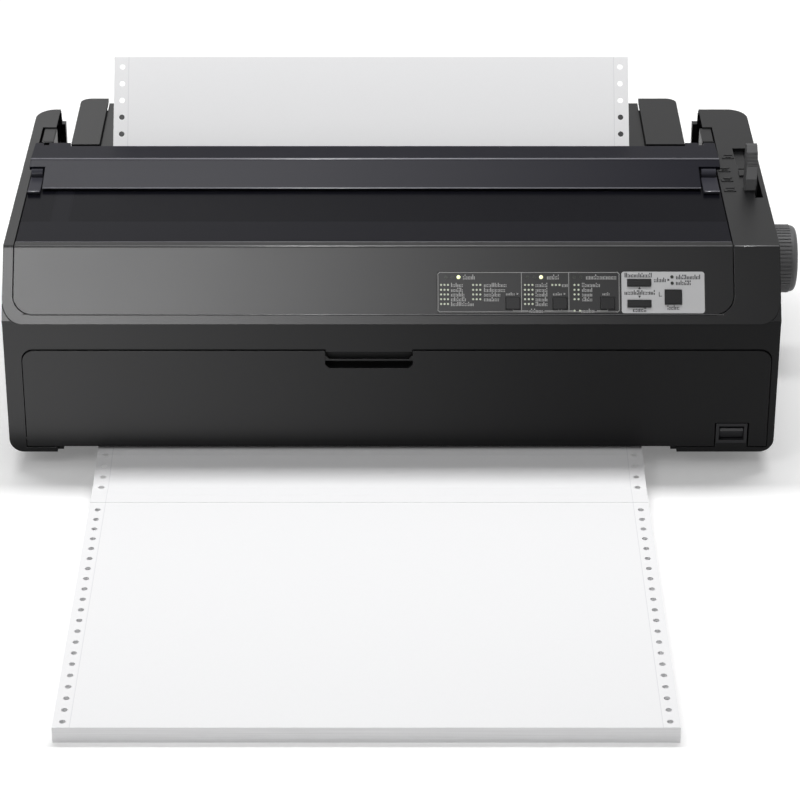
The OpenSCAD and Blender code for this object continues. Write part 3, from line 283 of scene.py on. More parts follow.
def soft_lamp(name, centre, target, size, brightness, fade):
    """A rectangular soft box that faces a point. With a fade it is a card that only gloss sees."""
    light = bpy.data.lights.new(name, "AREA")
    light.shape = "RECTANGLE"
    light.size, light.size_y = size
    light.energy = brightness * math.pi * size[0] * size[1]
    if fade:
        light.use_nodes = True
        tree = light.node_tree
        face = add_node(tree, "ShaderNodeNewGeometry").outputs["Parametric"]
        across = add_node(tree, "ShaderNodeSeparateXYZ", {"Vector": face}).outputs["X"]
        falling = remap(tree, across, fade, (1.0, 0.0), "SMOOTHSTEP")
        tree.links.new(falling, tree.nodes["Emission"].inputs["Strength"])
    back = (centre - target).normalized()
    right = Vector((1, 0, 0))
    right = (right - back * right.dot(back)).normalized()
    turned = Matrix((right, back.cross(right), back)).transposed().to_4x4()
    lamp = bpy.data.objects.new(name, light)
    lamp.matrix_world = Matrix.Translation(centre) @ turned
    lamp.visible_camera = False
    lamp.visible_diffuse = fade is None
    bpy.context.scene.collection.objects.link(lamp)
    if name in LIGHTS_ONLY:
        lit = bpy.data.collections.new(name + "_lights_only")
        lit.objects.link(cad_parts[LIGHTS_ONLY[name]])
        lamp.light_linking.receiver_collection = lit
    print(name, "at", [round(v, 2) for v in lamp.location], round(light.energy, 1), "W")


for name, centre, target, size, brightness, fade in LAMPS:
    soft_lamp(name, at(*centre), at(*target), size, brightness, fade)

# %% [markdown]
# ## Moulded plastics
# Office machines are injection moulded in ABS. The mould is spark eroded, which leaves a very fine
# even grain, so a dark moulding is never a mirror: it shows broad soft lights. Real grain is about
# 0.1 mm, far finer than a pixel of the portrait, so it is drawn at 0.9 mm and kept faint. A slow
# change of tone over a hand's width stands for the way such a moulding cools and is handled.
# Edges of mouldings have a small radius. The Bevel node rounds the shading there, and so each
# edge catches a fine line of light.

# %% Moulded plastic
SLOW_CLOUDS = 9.0  # to the metre: a change of tone over a hand's width
SLOW_DETAIL = 3.0
SLOW_STEP = 0.1  # how far the colour strays, as a share of it
SHEEN_STEP = 0.03  # how far the roughness strays
GRAIN_DEPTH = 0.1  # millimetres
GRAIN_SOFTNESS = 0.4
BEVEL_SAMPLES = 4


def rounded_edges(tree, radius):
    """Shading normals that round every edge by so many millimetres."""
    inputs = {"Radius": radius * MM}
    return add_node(tree, "ShaderNodeBevel", inputs, samples=BEVEL_SAMPLES).outputs["Normal"]


def moulded_plastic(name, colour, roughness, grain_mm=0.9, grain=0.12, edge_mm=0.5, specular=0.5):
    """Injection moulded plastic with spark-eroded grain, slow tone changes and soft edges."""
    material, tree, output, spot = new_material(name)
    slow = clouds(tree, spot, SLOW_CLOUDS, SLOW_DETAIL)
    bump = add_node(
        tree,
        "ShaderNodeBump",
        {
            "Strength": grain,
            "Distance": GRAIN_DEPTH * MM,
            "Height": clouds(tree, spot, 1 / (grain_mm * MM), 1.0, GRAIN_SOFTNESS),
            "Normal": rounded_edges(tree, edge_mm),
        },
    )
    finish_material(
        tree,
        output,
        {
            "Base Color": blend(tree, slow, *shades(colour, SLOW_STEP)),
            "Roughness": remap(tree, slow, after=(roughness - SHEEN_STEP, roughness + SHEEN_STEP)),
            "Specular IOR Level": specular,
            "Normal": bump.outputs["Normal"],
        },
    )
    return material


# Case and covers: dark, with broad soft lights
charcoal_abs = moulded_plastic("charcoal_spark_eroded_abs", "#101011", 0.35, specular=0.13)
# Keys: a shade lighter than the case, and duller, as fingers leave no shine on this grain
key_abs = moulded_plastic("grey_keycap_abs", "#121213", 0.4, grain_mm=0.5, specular=0.1)
# Platen knob: a plain mid grey whose ribs show
knob_abs = moulded_plastic("mid_grey_knob_abs", "#5f5f60", 0.5, edge_mm=0.3, specular=0.3)
# Release lever: between the knob and the case
lever_abs = moulded_plastic("dark_grey_lever_abs", "#343435", 0.5, edge_mm=0.3, specular=0.3)
# Mechanism: black and dull, so that it stays in the background
black_abs = moulded_plastic("black_mechanism_abs", "#17171a", 0.5, specular=0.25)
# Gears: the milky white of uncoloured nylon
natural_nylon = moulded_plastic("natural_nylon_gear", "#d6d3c8", 0.45, grain=0.05)
print("plastics ready")

# %% [markdown]
# ## Smoked covers
# The lid is moulded in smoked plastic, so dark that only hints of what lies behind it reach the
# eye. These hints are drawn as tones in it: a band in front, where the lid rests on the case, and
# the frame's cheek on the left. The lugs at both ends are thick and stand proud, and their tops are
# painted paler, as painted light. The narrow exit flap on the lid's back edge is moulded in a
# slightly lighter, bluish grey.

# %% Smoked covers
BAND_BACK = 73.0  # behind this line the lid covers the open mechanism
BAND_TONE = linear("#17171c")
BAND_SOFT = 0.5
CHEEK = (-236.5, -224.6)  # the frame's bright cheek shows through between these
CHEEK_TONE = linear("#141419")
CHEEK_SOFT = 2.0
PAD_X = (-247.0, 219.0)  # outside these the lid carries its thick lugs
PAD_Y = (108.0, 163.0)
PAD_Z = (156.4, 1000.0)  # from the top of the lid's own plate upwards
# Painted light: the lugs' tops are drawn paler than the lid, as if lit more strongly
PAD_PAINTED_LIGHT = linear("#35353b")
PAD_SOFT = 0.2
SMOKE_CLOUDS = 5.0  # to the metre
SMOKE_SHEEN = 0.02
SMOKE_EDGE = 0.8


def smoked_plastic(name, colour, roughness, specular, tones=None):
    """Polished dark plastic, with tones that lie behind its face if it has any."""
    material, tree, output, spot = new_material(name)
    slow = clouds(tree, spot, SMOKE_CLOUDS)
    base = linear(colour)
    inputs = {
        "Base Color": tones(tree, spot, base) if tones else base,
        "Roughness": remap(tree, slow, after=(roughness - SMOKE_SHEEN, roughness + SMOKE_SHEEN)),
        "Specular IOR Level": specular,
        "Normal": rounded_edges(tree, SMOKE_EDGE),
    }
    finish_material(tree, output, inputs)
    return material


def lid_tones(tree, spot, dark):
    """The dark window, its lighter front band, the frame's cheek behind it, and painted light on
    the lugs' tops.
    """
    x, y, z = add_node(tree, "ShaderNodeSeparateXYZ", {"Vector": spot}).outputs
    cheek = within(tree, x, at(CHEEK[0], 0, 0).x, at(CHEEK[1], 0, 0).x, CHEEK_SOFT * MM)
    band = within(tree, y, at(0, 0, 0).y, at(0, BAND_BACK, 0).y, BAND_SOFT * MM)
    inner = within(tree, x, at(PAD_X[0], 0, 0).x, at(PAD_X[1], 0, 0).x, PAD_SOFT * MM)
    depth = within(tree, y, at(0, PAD_Y[0], 0).y, at(0, PAD_Y[1], 0).y, PAD_SOFT * MM)
    above = within(tree, z, PAD_Z[0] * MM, PAD_Z[1] * MM, PAD_SOFT * MM)
    lugs = compute(tree, "MULTIPLY", compute(tree, "SUBTRACT", 1.0, inner), depth)
    lugs = compute(tree, "MULTIPLY", lugs, above)
    tone = blend(tree, cheek, dark, CHEEK_TONE)
    tone = blend(tree, band, tone, BAND_TONE)
    return blend(tree, lugs, tone, PAD_PAINTED_LIGHT)


# Lid: nearly black and smooth, with the hints behind it and painted light on the lugs' tops
smoked_lid = smoked_plastic("smoked_polystyrene_lid", "#0d0d12", 0.25, 0.014, lid_tones)
# Exit flap: bluish, and catching its own card
smoked_flap = smoked_plastic("smoked_exit_flap", "#12121a", 0.32, 0.018)
print("smoked covers ready")

# %% [markdown]
# ## Metal, rubber, board and paper
# Bright parts of the mechanism are zinc-plated sheet and ground bar. The platen is ground rubber.
# Continuous paper is white and matt, and a pile of it shows the edges of its leaves as fine
# lines, one every tenth of a millimetre. They are drawn here every 0.9 mm, so that they show.

# %% Metal, rubber and board
BRUSHED = (0.04, 1.0, 1.0)  # marks are stretched along x
METAL_SHEEN = 0.08


def rolled_metal(name, colour, roughness, brush_mm):
    """Sheet or bar whose surface keeps fine marks along one direction."""
    material, tree, output, spot = new_material(name)
    along = add_node(tree, "ShaderNodeMapping", {"Vector": spot, "Scale": BRUSHED})
    marks = clouds(tree, along.outputs["Vector"], 1 / (brush_mm * MM))
    sheen = remap(tree, marks, after=(roughness - METAL_SHEEN, roughness + METAL_SHEEN))
    finish_material(
        tree, output, {"Base Color": linear(colour), "Metallic": 1.0, "Roughness": sheen}
    )
    return material


def plain_finish(name, colour, roughness, spots_mm, contrast, specular=0.3):
    """A matt surface with a fine mottled colour: rubber, film, solder mask."""
    material, tree, output, spot = new_material(name)
    mottle = clouds(tree, spot, 1 / (spots_mm * MM))
    finish_material(
        tree,
        output,
        {
            "Base Color": blend(tree, mottle, *shades(colour, contrast)),
            "Roughness": roughness,
            "Specular IOR Level": specular,
        },
    )
    return material


# Shafts, rails and frames: bright, with fine marks along the bar
zinc_steel = rolled_metal("zinc_plated_steel", "#b4b4b8", 0.35, 0.8)
# Feet: dull black
foot_rubber = plain_finish("moulded_black_rubber", "#1c1c1c", 0.8, 1.5, 0.2)
# Platen: dull and a little dusty
platen_rubber = plain_finish("ground_platen_rubber", "#28282b", 0.7, 1.2, 0.15)
# Board: the green lacquer over its copper
solder_mask = plain_finish("green_solder_mask", "#1f5a3a", 0.4, 3.0, 0.15)
# Left panel label: smooth and dark, so that its print shows
dark_film = plain_finish("dark_printed_film", "#121213", 0.4, 20.0, 0.06, specular=0.14)
# Right panel label: the one light grey field of the case
grey_film = plain_finish("light_grey_printed_film", "#bcbcbd", 0.5, 20.0, 0.04, specular=0.1)
# Lamps that are off: small greenish windows
lamp_clear = plain_finish("unlit_lamp_lens", "#2c2e2a", 0.3, 4.0, 0.1, specular=0.12)
print("metal, rubber, board and film ready")

# %% Paper
FIBRES = 900.0  # to the metre
FIBRE_DETAIL = 3.0
FIBRE_STEP = 0.03
LEAF_PITCH = 0.9  # a leaf is 0.1 mm thick; drawn this coarse so that the lines show
LEAF_STRETCH = 12.0  # leaves change this often to the metre along their edge
LEAF_EDGES = ("#e9e9ea", "#fbfbfc")  # greyer than a face: light is lost between leaves
UPRIGHT = 0.3  # a face whose normal rises less than this shows leaf edges
PILE_TOP = 10.9
STRIP_EDGE = 178.3  # the torn-off strips begin this far from the middle of the web
PERFORATION = 0.25  # half the width of its line
PERFORATION_SOFT = 0.1
PERFORATION_TONE = "#e6e6e8"
PAPER_ROUGHNESS = 0.85
PAPER_GLOSS = 0.15

web_low, web_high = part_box("paper_web")
web_middle = (web_low.x + web_high.x) / 2


def bond_paper(name, colour):
    """Uncoated white paper with fibres, the fold line of its strips, and leaves on its edges."""
    material, tree, output, spot = new_material(name)
    x, _, z = add_node(tree, "ShaderNodeSeparateXYZ", {"Vector": spot}).outputs
    fibres = clouds(tree, spot, FIBRES, FIBRE_DETAIL)
    tone = blend(tree, fibres, shades(colour, FIBRE_STEP)[0], linear(colour))
    # The strips' edges: a line at equal distances left and right of the middle
    away = compute(tree, "ABSOLUTE", compute(tree, "SUBTRACT", x, web_middle))
    start, end = (STRIP_EDGE - PERFORATION) * MM, (STRIP_EDGE + PERFORATION) * MM
    line = within(tree, away, start, end, PERFORATION_SOFT * MM)
    tone = blend(tree, line, tone, linear(PERFORATION_TONE))
    # Leaf edges: fine lines on every face of the pile that stands upright
    normal = add_node(tree, "ShaderNodeNewGeometry").outputs["Normal"]
    rise = add_node(tree, "ShaderNodeSeparateXYZ", {"Vector": normal}).outputs["Z"]
    upright = compute(tree, "LESS_THAN", compute(tree, "ABSOLUTE", rise), UPRIGHT)
    low_down = compute(tree, "LESS_THAN", z, PILE_TOP * MM)
    stretch = (LEAF_STRETCH, LEAF_STRETCH, 1 / (LEAF_PITCH * MM))
    stretched = add_node(tree, "ShaderNodeMapping", {"Vector": spot, "Scale": stretch})
    leaves = clouds(tree, stretched.outputs["Vector"], 1.0, 1.0)
    leaf_tone = blend(tree, leaves, *(linear(c) for c in LEAF_EDGES))
    tone = blend(tree, compute(tree, "MULTIPLY", upright, low_down), tone, leaf_tone)
    finish_material(
        tree,
        output,
        {
            "Base Color": tone,
            "Roughness": PAPER_ROUGHNESS,
            "Specular IOR Level": PAPER_GLOSS,
        },
    )
    return material


# Paper: white and matt, the brightest thing here
white_bond = bond_paper("white_bond_paper", "#f6f6f7")
print("materials:", len(bpy.data.materials))

# %% Give each CAD node its finish
FINISH = {
    "case": charcoal_abs,
    "feet": foot_rubber,
    "steel": zinc_steel,
    "mode_label": dark_film,
    "key_label": grey_film,
    "lamps": lamp_clear,
    "keys": key_abs,
    "smoke": smoked_lid,
    "flap": smoked_flap,
    "knob": knob_abs,
    "black": black_abs,
    "platen": platen_rubber,
    "board": solder_mask,
    "paper": white_bond,
    "nylon": natural_nylon,
}
for node_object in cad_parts.values():
    for place in node_object.material_slots:
        place.material = FINISH[place.material.name.split(".")[0]]
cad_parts["release_lever"].material_slots[0].material = lever_abs
print("finished nodes:", len(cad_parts))

# %% [markdown]
# ## The printed panel
# The two labels are printed film. On a real panel the print is a few hundredths of a millimetre of
# ink, and here each mark is a slab of 0.04 mm on the film's face, so that it has a true edge from
# every side. The lines of lettering are rows of plain bars: they give the panel its texture and
# spell nothing. All marks are placed in the slope's own frame: right, up the slope, and out of it.

# %% The slope's own frame
SLOPE = math.radians(52.7)
FILM_T = 0.7
FILM_FOOT = 2.6  # the film's lower edge, up the slope from the lip
INK_T = 0.04

film_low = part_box("panel_mode_label")[0]
uphill = Vector((0, math.cos(SLOPE), math.sin(SLOPE)))
outward = Vector((0, -math.sin(SLOPE), math.cos(SLOPE)))
film_edge = Vector((origin.x, film_low.y, film_low.z + FILM_T * MM * math.cos(SLOPE)))
slope_zero = film_edge - uphill * FILM_FOOT * MM
on_film = Matrix.Translation(slope_zero) @ (
    Matrix((Vector((1, 0, 0)), uphill, outward)).transposed().to_4x4() @ Matrix.Scale(MM, 4)
)
print("the lip of the panel is at", [round(v, 4) for v in slope_zero])

# %% Marks of ink
LETTER_SCALE = 1.16
LETTER_PITCH = 1.05
LETTER_STROKE = 0.62
LETTER_HEIGHTS = (0.62, 0.62, 0.68, 1.0)  # mostly small letters, as a share of a tall one
UNBROKEN = 0.5  # the share of strokes without a gap
STROKE_GAP = (0.38, 0.62)  # where the gap lies in a stroke that has one
DOT_SIDES = 12
ARROW_SIDES = 3

draw = random.Random(7)


def add_bar(shape, x, s):
    """One slab of ink between two places across and two places up the slope."""
    size = Matrix.Diagonal((x[1] - x[0], s[1] - s[0], INK_T, 1))
    middle = Matrix.Translation(((x[0] + x[1]) / 2, (s[0] + s[1]) / 2, INK_T / 2))
    bmesh.ops.create_cube(shape, size=1, matrix=on_film @ middle @ size)


def add_dot(shape, x, s, radius, sides=DOT_SIDES, turn=0.0):
    """A round mark, or with three sides a small arrow."""
    place = Matrix.Translation((x, s, INK_T / 2)) @ Matrix.Rotation(turn, 4, "Z")
    bmesh.ops.create_cone(
        shape,
        cap_ends=True,
        segments=sides,
        radius1=radius,
        radius2=radius,
        depth=INK_T,
        matrix=on_film @ place,
    )


def add_words(shape, x0, x1, s, tall):
    """A line of bars of uneven height, which stands where a line of lettering would."""
    tall = tall * LETTER_SCALE
    low = s - tall / 2
    for step in range(int((x1 - x0 - LETTER_STROKE) / LETTER_PITCH) + 1):
        x = x0 + step * LETTER_PITCH
        part = draw.choice(LETTER_HEIGHTS)
        top = low + tall * part
        if draw.random() < UNBROKEN:
            add_bar(shape, (x, x + LETTER_STROKE), (low, top))
        else:
            lower, upper = (low + tall * part * gap for gap in STROKE_GAP)
            add_bar(shape, (x, x + LETTER_STROKE), (low, lower))
            add_bar(shape, (x, x + LETTER_STROKE), (upper, top))


print("a mark of ink is", INK_T, "mm thick")

# %% Inks, and pieces that ride on the printer


def new_piece(name, shape, material, body):
    """Turns a finished bmesh into an object that rides on a CAD body."""
    bmesh.ops.recalc_face_normals(shape, faces=shape.faces)
    mesh = bpy.data.meshes.new(name)
    shape.to_mesh(mesh)
    shape.free()
    mesh.materials.append(material)
    piece = bpy.data.objects.new(name, mesh)
    bpy.context.scene.collection.objects.link(piece)
    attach(piece, body)
    print(name, len(mesh.polygons), "faces on", body)
    return piece


# Inks: matt and a little greyed by the film, black on the light label
white_ink = plain_finish("white_screen_ink", "#a3a3a2", 0.6, 6.0, 0.04, specular=0.1)
grey_ink = plain_finish("pale_grey_screen_ink", "#9a9a99", 0.6, 6.0, 0.04, specular=0.1)
black_ink = plain_finish("black_screen_ink", "#18181a", 0.6, 6.0, 0.06, specular=0.1)
green_ink = plain_finish("pale_green_screen_ink", "#cdd3c0", 0.6, 6.0, 0.04, specular=0.1)
print("four inks ready")

# %% Lettering on the dark film
# x from and to, the middle of the line up the slope, height of a tall letter
MODE_WORDS = [
    (48.7, 56.8, 27.3, 3.0),
    (40.5, 49.3, 21.8, 2.5),
    (40.5, 49.3, 18.4, 2.5),
    (40.5, 50.0, 15.2, 2.5),
    (40.5, 50.7, 11.9, 2.5),
    (40.5, 56.8, 8.6, 2.5),
    (62.9, 78.6, 21.8, 2.5),
    (62.9, 77.9, 18.4, 2.5),
    (62.9, 74.5, 15.2, 2.5),
    (62.9, 73.8, 11.9, 2.5),
    (77.9, 84.7, 15.6, 1.8),
    (93.8, 103.0, 3.9, 2.5),
    (105.9, 114.0, 27.3, 3.0),
    (98.0, 106.2, 21.8, 2.5),
    (98.0, 106.2, 18.4, 2.5),
    (98.0, 106.2, 15.2, 2.5),
    (98.0, 106.2, 11.9, 2.5),
    (98.0, 106.2, 8.6, 2.5),
    (116.0, 120.1, 21.8, 2.5),
    (109.9, 116.7, 15.6, 1.8),
    (132.4, 153.5, 27.3, 3.0),
    (129.6, 142.6, 21.8, 2.5),
    (129.6, 136.8, 18.4, 2.5),
    (129.6, 136.8, 15.2, 2.5),
    (129.6, 137.0, 11.9, 2.5),
    (143.5, 148.6, 15.6, 1.8),
    (128.8, 138.6, 3.9, 2.5),
]
MODE_ARROWS = ((85.6, 15.6), (117.6, 15.6))
MODE_ARROW_R = 0.9

shape = bmesh.new()
for x0, x1, s, tall in MODE_WORDS:
    add_words(shape, x0, x1, s, tall)
for x, s in MODE_ARROWS:
    add_dot(shape, x, s, MODE_ARROW_R, ARROW_SIDES, math.radians(-90))
new_piece("mode_lettering_bars", shape, white_ink, "case")

# %% Frame, dividers and bracket lines on the dark film
LINE = 0.45
FRAME_X = (31.4, 155.1)
FRAME_S = (2.9, 30.7)
FRAME_R = 1.8
CORNER_LENGTH = FRAME_R * 1.45
DIVIDERS = (88.4, 120.6)
BRACKETS = ((82.6, 93.0), (104.0, 123.4), (139.6, 147.0))
BRACKET_S = 3.9
TICKS = (82.6, 113.6, 115.6, 147.0)
TICK_TOP = BRACKET_S + 1.1

shape = bmesh.new()
for s in (FRAME_S[0], FRAME_S[1] - LINE):
    add_bar(shape, (FRAME_X[0] + FRAME_R, FRAME_X[1] - FRAME_R), (s, s + LINE))
for x in (FRAME_X[0], FRAME_X[1] - LINE):
    add_bar(shape, (x, x + LINE), (FRAME_S[0] + FRAME_R, FRAME_S[1] - FRAME_R))
# Each corner is one slanted bar across the round
corner = FRAME_R * (1 - math.sqrt(0.5)) + LINE / 2
for x, side in ((FRAME_X[0], 1), (FRAME_X[1], -1)):
    for s, way in ((FRAME_S[0], 1), (FRAME_S[1], -1)):
        place = Matrix.Translation((x + side * corner, s + way * corner, INK_T / 2))
        slant = Matrix.Rotation(math.radians(-45 * side * way), 4, "Z")
        size = Matrix.Diagonal((CORNER_LENGTH, LINE, INK_T, 1))
        bmesh.ops.create_cube(shape, size=1, matrix=on_film @ place @ slant @ size)
for x in DIVIDERS:
    add_bar(shape, (x - LINE / 2, x + LINE / 2), (FRAME_S[0] + LINE, FRAME_S[1] - LINE))
for x in BRACKETS:
    add_bar(shape, x, (BRACKET_S - LINE / 2, BRACKET_S + LINE / 2))
for x in TICKS:
    add_bar(shape, (x - LINE / 2, x + LINE / 2), (BRACKET_S + LINE / 2, TICK_TOP))
new_piece("mode_frame_lines", shape, grey_ink, "case")

# %% Rows of dots on the dark film
DOT_R = 0.72
ROWS = (21.8, 18.4, 15.2, 11.9, 8.6)
# columns across, rows up the slope
DOT_GRIDS = [
    ((33.7, 36.05, 38.4), ROWS),
    ((55.5, 57.95, 60.4), ROWS[:4]),
    ((90.8, 93.35, 95.9), ROWS),
    ((109.4, 111.85, 114.3), ROWS[:1]),
    ((124.5, 127.2), ROWS[:4]),
    ((124.4, 128.1), (3.9,)),
]

shape = bmesh.new()
for columns, rows in DOT_GRIDS:
    for x in columns:
        for s in rows:
            add_dot(shape, x, s, DOT_R)
new_piece("mode_dots", shape, green_ink, "case")

# %% Marks on the light film
KEY_WORDS = [
    (158.7, 177.4, 28.6, 2.8),
    (158.5, 179.9, 16.6, 2.8),
    (164.1, 173.7, 4.7, 2.8),
    (178.7, 186.9, 25.3, 2.8),
    (193.7, 210.7, 27.3, 2.8),
    (193.6, 203.9, 23.3, 2.8),
    (187.6, 195.8, 6.2, 2.8),
]
KEY_ARROWS = ((188.4, 25.3, -90), (168.7, 19.4, 0), (168.7, 13.8, 180))  # and the turn in degrees
KEY_ARROW_R = 1.1
HOOK = (((181.9, 182.3), (14.2, 17.0)), ((181.9, 184.0), (13.8, 14.2)))

shape = bmesh.new()
for x0, x1, s, tall in KEY_WORDS:
    add_words(shape, x0, x1, s, tall)
for x, s, turn in KEY_ARROWS:
    add_dot(shape, x, s, KEY_ARROW_R, ARROW_SIDES, math.radians(turn))
for x, s in HOOK:
    add_bar(shape, x, s)
new_piece("key_lettering_bars", shape, black_ink, "case")

# %% [markdown]
# ## Lit lamps
# Two of the small lamps are on. A lens is a low dome of clear resin over the lamp, so it is a
# sphere pressed flat, and a soft yellow-green emission makes it glow without lighting the panel.

# %% Lit lamps
LIT_AT = ((45.6, 27.2), (101.8, 27.2))
LENS_R = 1.35
LENS_RISE = 0.45
LENS_SIDES, LENS_RINGS = 20, 10
LENS_ROUGHNESS = 0.2
LENS_GLOW = 0.75
HAZE = 400.0  # to the metre

# Lit lens: a small yellow-green light, brighter in places, where the resin is clearer
lit_resin, tree, output, spot = new_material("lit_clear_resin_lens")
finish_material(
    tree,
    output,
    {
        "Base Color": linear("#dfe6a8"),
        "Roughness": LENS_ROUGHNESS,
        "Emission Color": blend(
            tree, clouds(tree, spot, HAZE), linear("#eef5b4"), linear("#fbffd8")
        ),
        "Emission Strength": LENS_GLOW,
    },
)
for number, (x, s) in enumerate(LIT_AT):
    shape = bmesh.new()
    dome = Matrix.Translation((x, s, 0)) @ Matrix.Diagonal((LENS_R, LENS_R, LENS_RISE, 1))
    bmesh.ops.create_uvsphere(
        shape, u_segments=LENS_SIDES, v_segments=LENS_RINGS, radius=1, matrix=on_film @ dome
    )
    new_piece(f"lit_lens_{number + 1}", shape, lit_resin, "case")

# %% [markdown]
# ## Rounded edges with painted highlights
# The long edges of the covers and of the case are polished round in the mould, and each draws a
# fine bright line from the strip lamp. Such a round is made here as a thin rod, a circle extruded
# along the edge, that stands only a tenth of a millimetre or so out of the CAD solid. The rods are
# coloured paler than their plastic: a painted highlight along each edge.

# %% Rounded edges with painted highlights
EDGE_SIDES = 12

# Edges: coloured paler than their plastic as a painted highlight, and glossy, so that they also
# catch the strip lamp
painted_smoke_highlight = plain_finish("painted_highlight_smoked_edge", "#7c7c83", 0.3, 8.0, 0.05, specular=0.5)
painted_lid_highlight = plain_finish("painted_highlight_lid_edge", "#68686e", 0.3, 8.0, 0.05, specular=0.4)
painted_case_highlight = plain_finish("painted_highlight_charcoal_edge", "#5c5c5d", 0.34, 8.0, 0.05, specular=0.4)


def edge_rod(name, x, y, z, material, body, slot, radius):
    """A thin rod along x, whose middle lies at y and z."""
    shape = bmesh.new()
    start, end = at(x[0], y, z), at(x[1], y, z)
    bmesh.ops.create_circle(
        shape,
        cap_ends=True,
        segments=EDGE_SIDES,
        radius=radius * MM,
        matrix=Matrix.Translation(start) @ Matrix.Rotation(math.radians(90), 4, "Y"),
    )
    pulled = bmesh.ops.extrude_face_region(shape, geom=shape.faces[:])
    moved = [v for v in pulled["geom"] if isinstance(v, bmesh.types.BMVert)]
    bmesh.ops.translate(shape, verts=moved, vec=end - start)
    piece = new_piece(name, shape, material, body)
    for face in piece.data.polygons:
        face.use_smooth = len(face.vertices) == 4


# name, x from and to, y, z, finish, body, slot, radius
EDGES = [
    ("flap_ridge_edge", (-258.3, 234.4), 159.4, 164.75, painted_smoke_highlight, "exit_flap", "flap", 0.8),
    ("flap_front_edge", (-247.2, 219.0), 124.35, 157.75, painted_smoke_highlight, "exit_flap", "flap", 0.5),
    ("lid_front_edge", (-257.2, 232.6), 39.75, 155.3, painted_lid_highlight, "lid", "smoke", 0.55),
    ("left_lug_edge", (-257.2, -248.6), 118.35, 157.85, painted_smoke_highlight, "lid", "smoke", 0.5),
    ("right_lug_edge", (221.0, 231.8), 118.35, 157.85, painted_smoke_highlight, "lid", "smoke", 0.5),
    ("panel_ridge_edge", (-257.2, 232.6), 33.4, 155.2, painted_case_highlight, "case", "case", 0.85),
    ("case_ridge_edge", (234.2, 264.4), 33.4, 155.2, painted_case_highlight, "case", "case", 0.85),
    ("panel_lip_edge", (-251.0, 226.0), 3.75, 118.0, painted_case_highlight, "case", "case", 0.3),
]
for edge in EDGES:
    edge_rod(*edge)

# %% [markdown]
# ## Steps in the horns
# Inside each rear horn of the case a small flat step closes the corner beside the flap. It is a
# block with rounded edges: a cube of one unit, set to size, with its upper edges bevelled.

# %% Steps in the horns
STEP_X = ((-256.8, -247.6), (227.8, 236.4))
STEP_Y = (213.5, 238.3)
STEP_Z = (138.0, 155.2)
STEP_ROUND = 0.8
STEP_SEGMENTS = 3


def add_block(shape, low, high):
    """A block between two corners."""
    place = Matrix.Translation((low + high) / 2)
    size = Matrix.Diagonal((*(abs(v) for v in high - low), 1))
    bmesh.ops.create_cube(shape, size=1, matrix=place @ size)


for side, x in zip(("left", "right"), STEP_X):
    shape = bmesh.new()
    low, high = at(x[0], STEP_Y[0], STEP_Z[0]), at(x[1], STEP_Y[1], STEP_Z[1])
    add_block(shape, low, high)
    top = [e for e in shape.edges if all(v.co.z > high.z - MM for v in e.verts)]
    bmesh.ops.bevel(
        shape,
        geom=top,
        offset=STEP_ROUND * MM,
        segments=STEP_SEGMENTS,
        profile=0.5,
        affect="EDGES",
        material=-1,
    )
    new_piece(f"horn_step_{side}", shape, charcoal_abs, "case")

# %% [markdown]
# ## Liners in the horns
# The inner wall of each horn is ribbed, so that the paper guide's arm slides past it, and it is the
# one wall of the case left rough from the mould. A thin plate is cut into strips, and every second
# strip is extruded to make a rib.

# %% Liners in the horns
LINER_X = ((-248.0, 1), (230.0, -1))  # the wall, and the way it faces
LINER_Y = (238.6, 270.5)
LINER_Z = (141.0, 155.6)
LINER_T = 0.4
RIB_COUNT = 3
RIB_RISE = 0.8
FACES_OUT = 0.9  # a face whose normal has this much along the way out is part of the plate's face

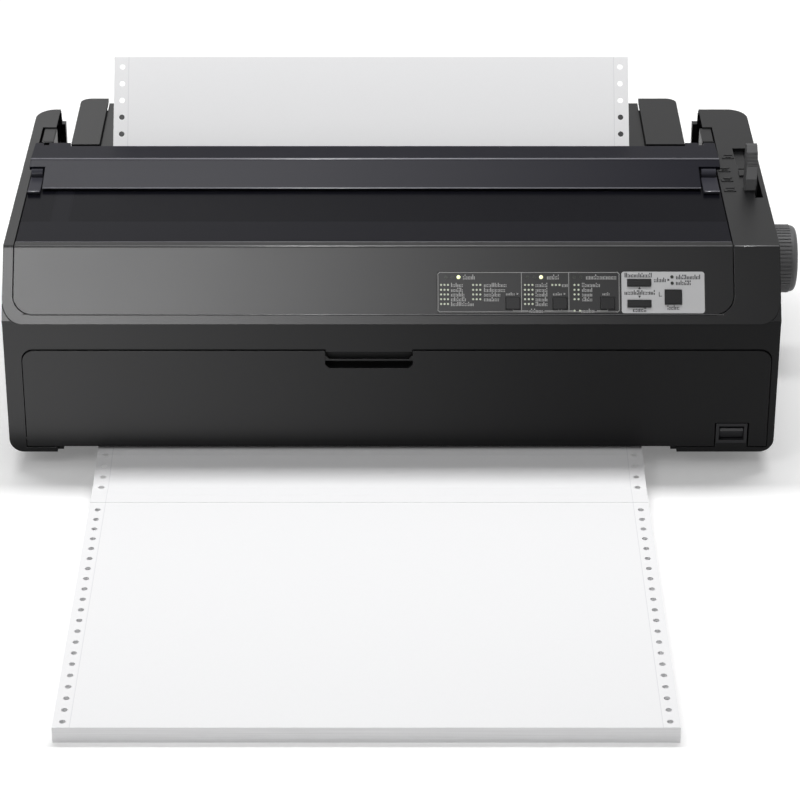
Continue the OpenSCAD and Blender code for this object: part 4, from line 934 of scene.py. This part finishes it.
# Rough ABS: no gloss at all, so that the gap beside the flap stays dark
rough_abs = moulded_plastic("rough_unpolished_abs", "#0c0c0d", 0.85, grain=0.3, specular=0.0)
for side, (wall, way) in zip(("left", "right"), LINER_X):
    shape = bmesh.new()
    low = at(wall, LINER_Y[0], LINER_Z[0])
    high = at(wall + way * LINER_T, LINER_Y[1], LINER_Z[1])
    add_block(shape, low, high)
    strip_count = 2 * RIB_COUNT + 1
    for cut in range(1, strip_count):
        bmesh.ops.bisect_plane(
            shape,
            geom=shape.verts[:] + shape.edges[:] + shape.faces[:],
            plane_co=low + Vector((0, (high.y - low.y) * cut / strip_count, 0)),
            plane_no=(0, 1, 0),
        )
    shape.normal_update()
    strips = [f for f in shape.faces if f.normal.x * way > FACES_OUT]
    strips.sort(key=lambda f: f.calc_center_median().y)
    pushed = bmesh.ops.extrude_discrete_faces(shape, faces=strips[1::2])
    bmesh.ops.translate(
        shape,
        verts=list({v for f in pushed["faces"] for v in f.verts}),
        vec=(way * RIB_RISE * MM, 0, 0),
    )
    new_piece(f"horn_liner_{side}", shape, rough_abs, "case")

# %% [markdown]
# ## Raised signs beside the lever
# Four low reliefs beside the lever's slot show its positions. They are kept to a plain sheet
# outline with bars in it, moulded with the deck and 0.3 mm high.

# %% Raised signs beside the lever
SIGN_AT = ((243.5, 183.5), (238.8, 160.2), (239.2, 143.0), (239.6, 125.6))
SIGN_SIZE = (8.4, 6.6)
SIGN_H = 0.3
SIGN_SUNK = 0.05
SIGN_LINE = 0.8
SIGN_EAR = 1.5  # the sheet's upper left corner is left open
RUNG_X = (-1.8, 2.4)
RUNG_FIRST, RUNG_PITCH = -1.2, 1.6
RUNG_LINE = SIGN_LINE * 0.7
MOST_RUNGS = 3
DECK_Z = 156.0

shape = bmesh.new()
half_x, half_y = SIGN_SIZE[0] / 2, SIGN_SIZE[1] / 2
for number, (x, y) in enumerate(SIGN_AT):
    strokes = [
        (x - half_x, x + half_x, y - half_y, y - half_y + SIGN_LINE),
        (x - half_x + SIGN_EAR, x + half_x, y + half_y - SIGN_LINE, y + half_y),
        (x - half_x, x - half_x + SIGN_LINE, y - half_y, y + half_y - SIGN_EAR),
        (x + half_x - SIGN_LINE, x + half_x, y - half_y, y + half_y),
    ]
    for line in range(number % MOST_RUNGS + 1):
        rung = y + RUNG_FIRST + RUNG_PITCH * line
        strokes.append((x + RUNG_X[0], x + RUNG_X[1], rung, rung + RUNG_LINE))
    for x0, x1, y0, y1 in strokes:
        add_block(shape, at(x0, y0, DECK_Z - SIGN_SUNK), at(x1, y1, DECK_Z + SIGN_H))
new_piece("lever_signs", shape, charcoal_abs, "case")
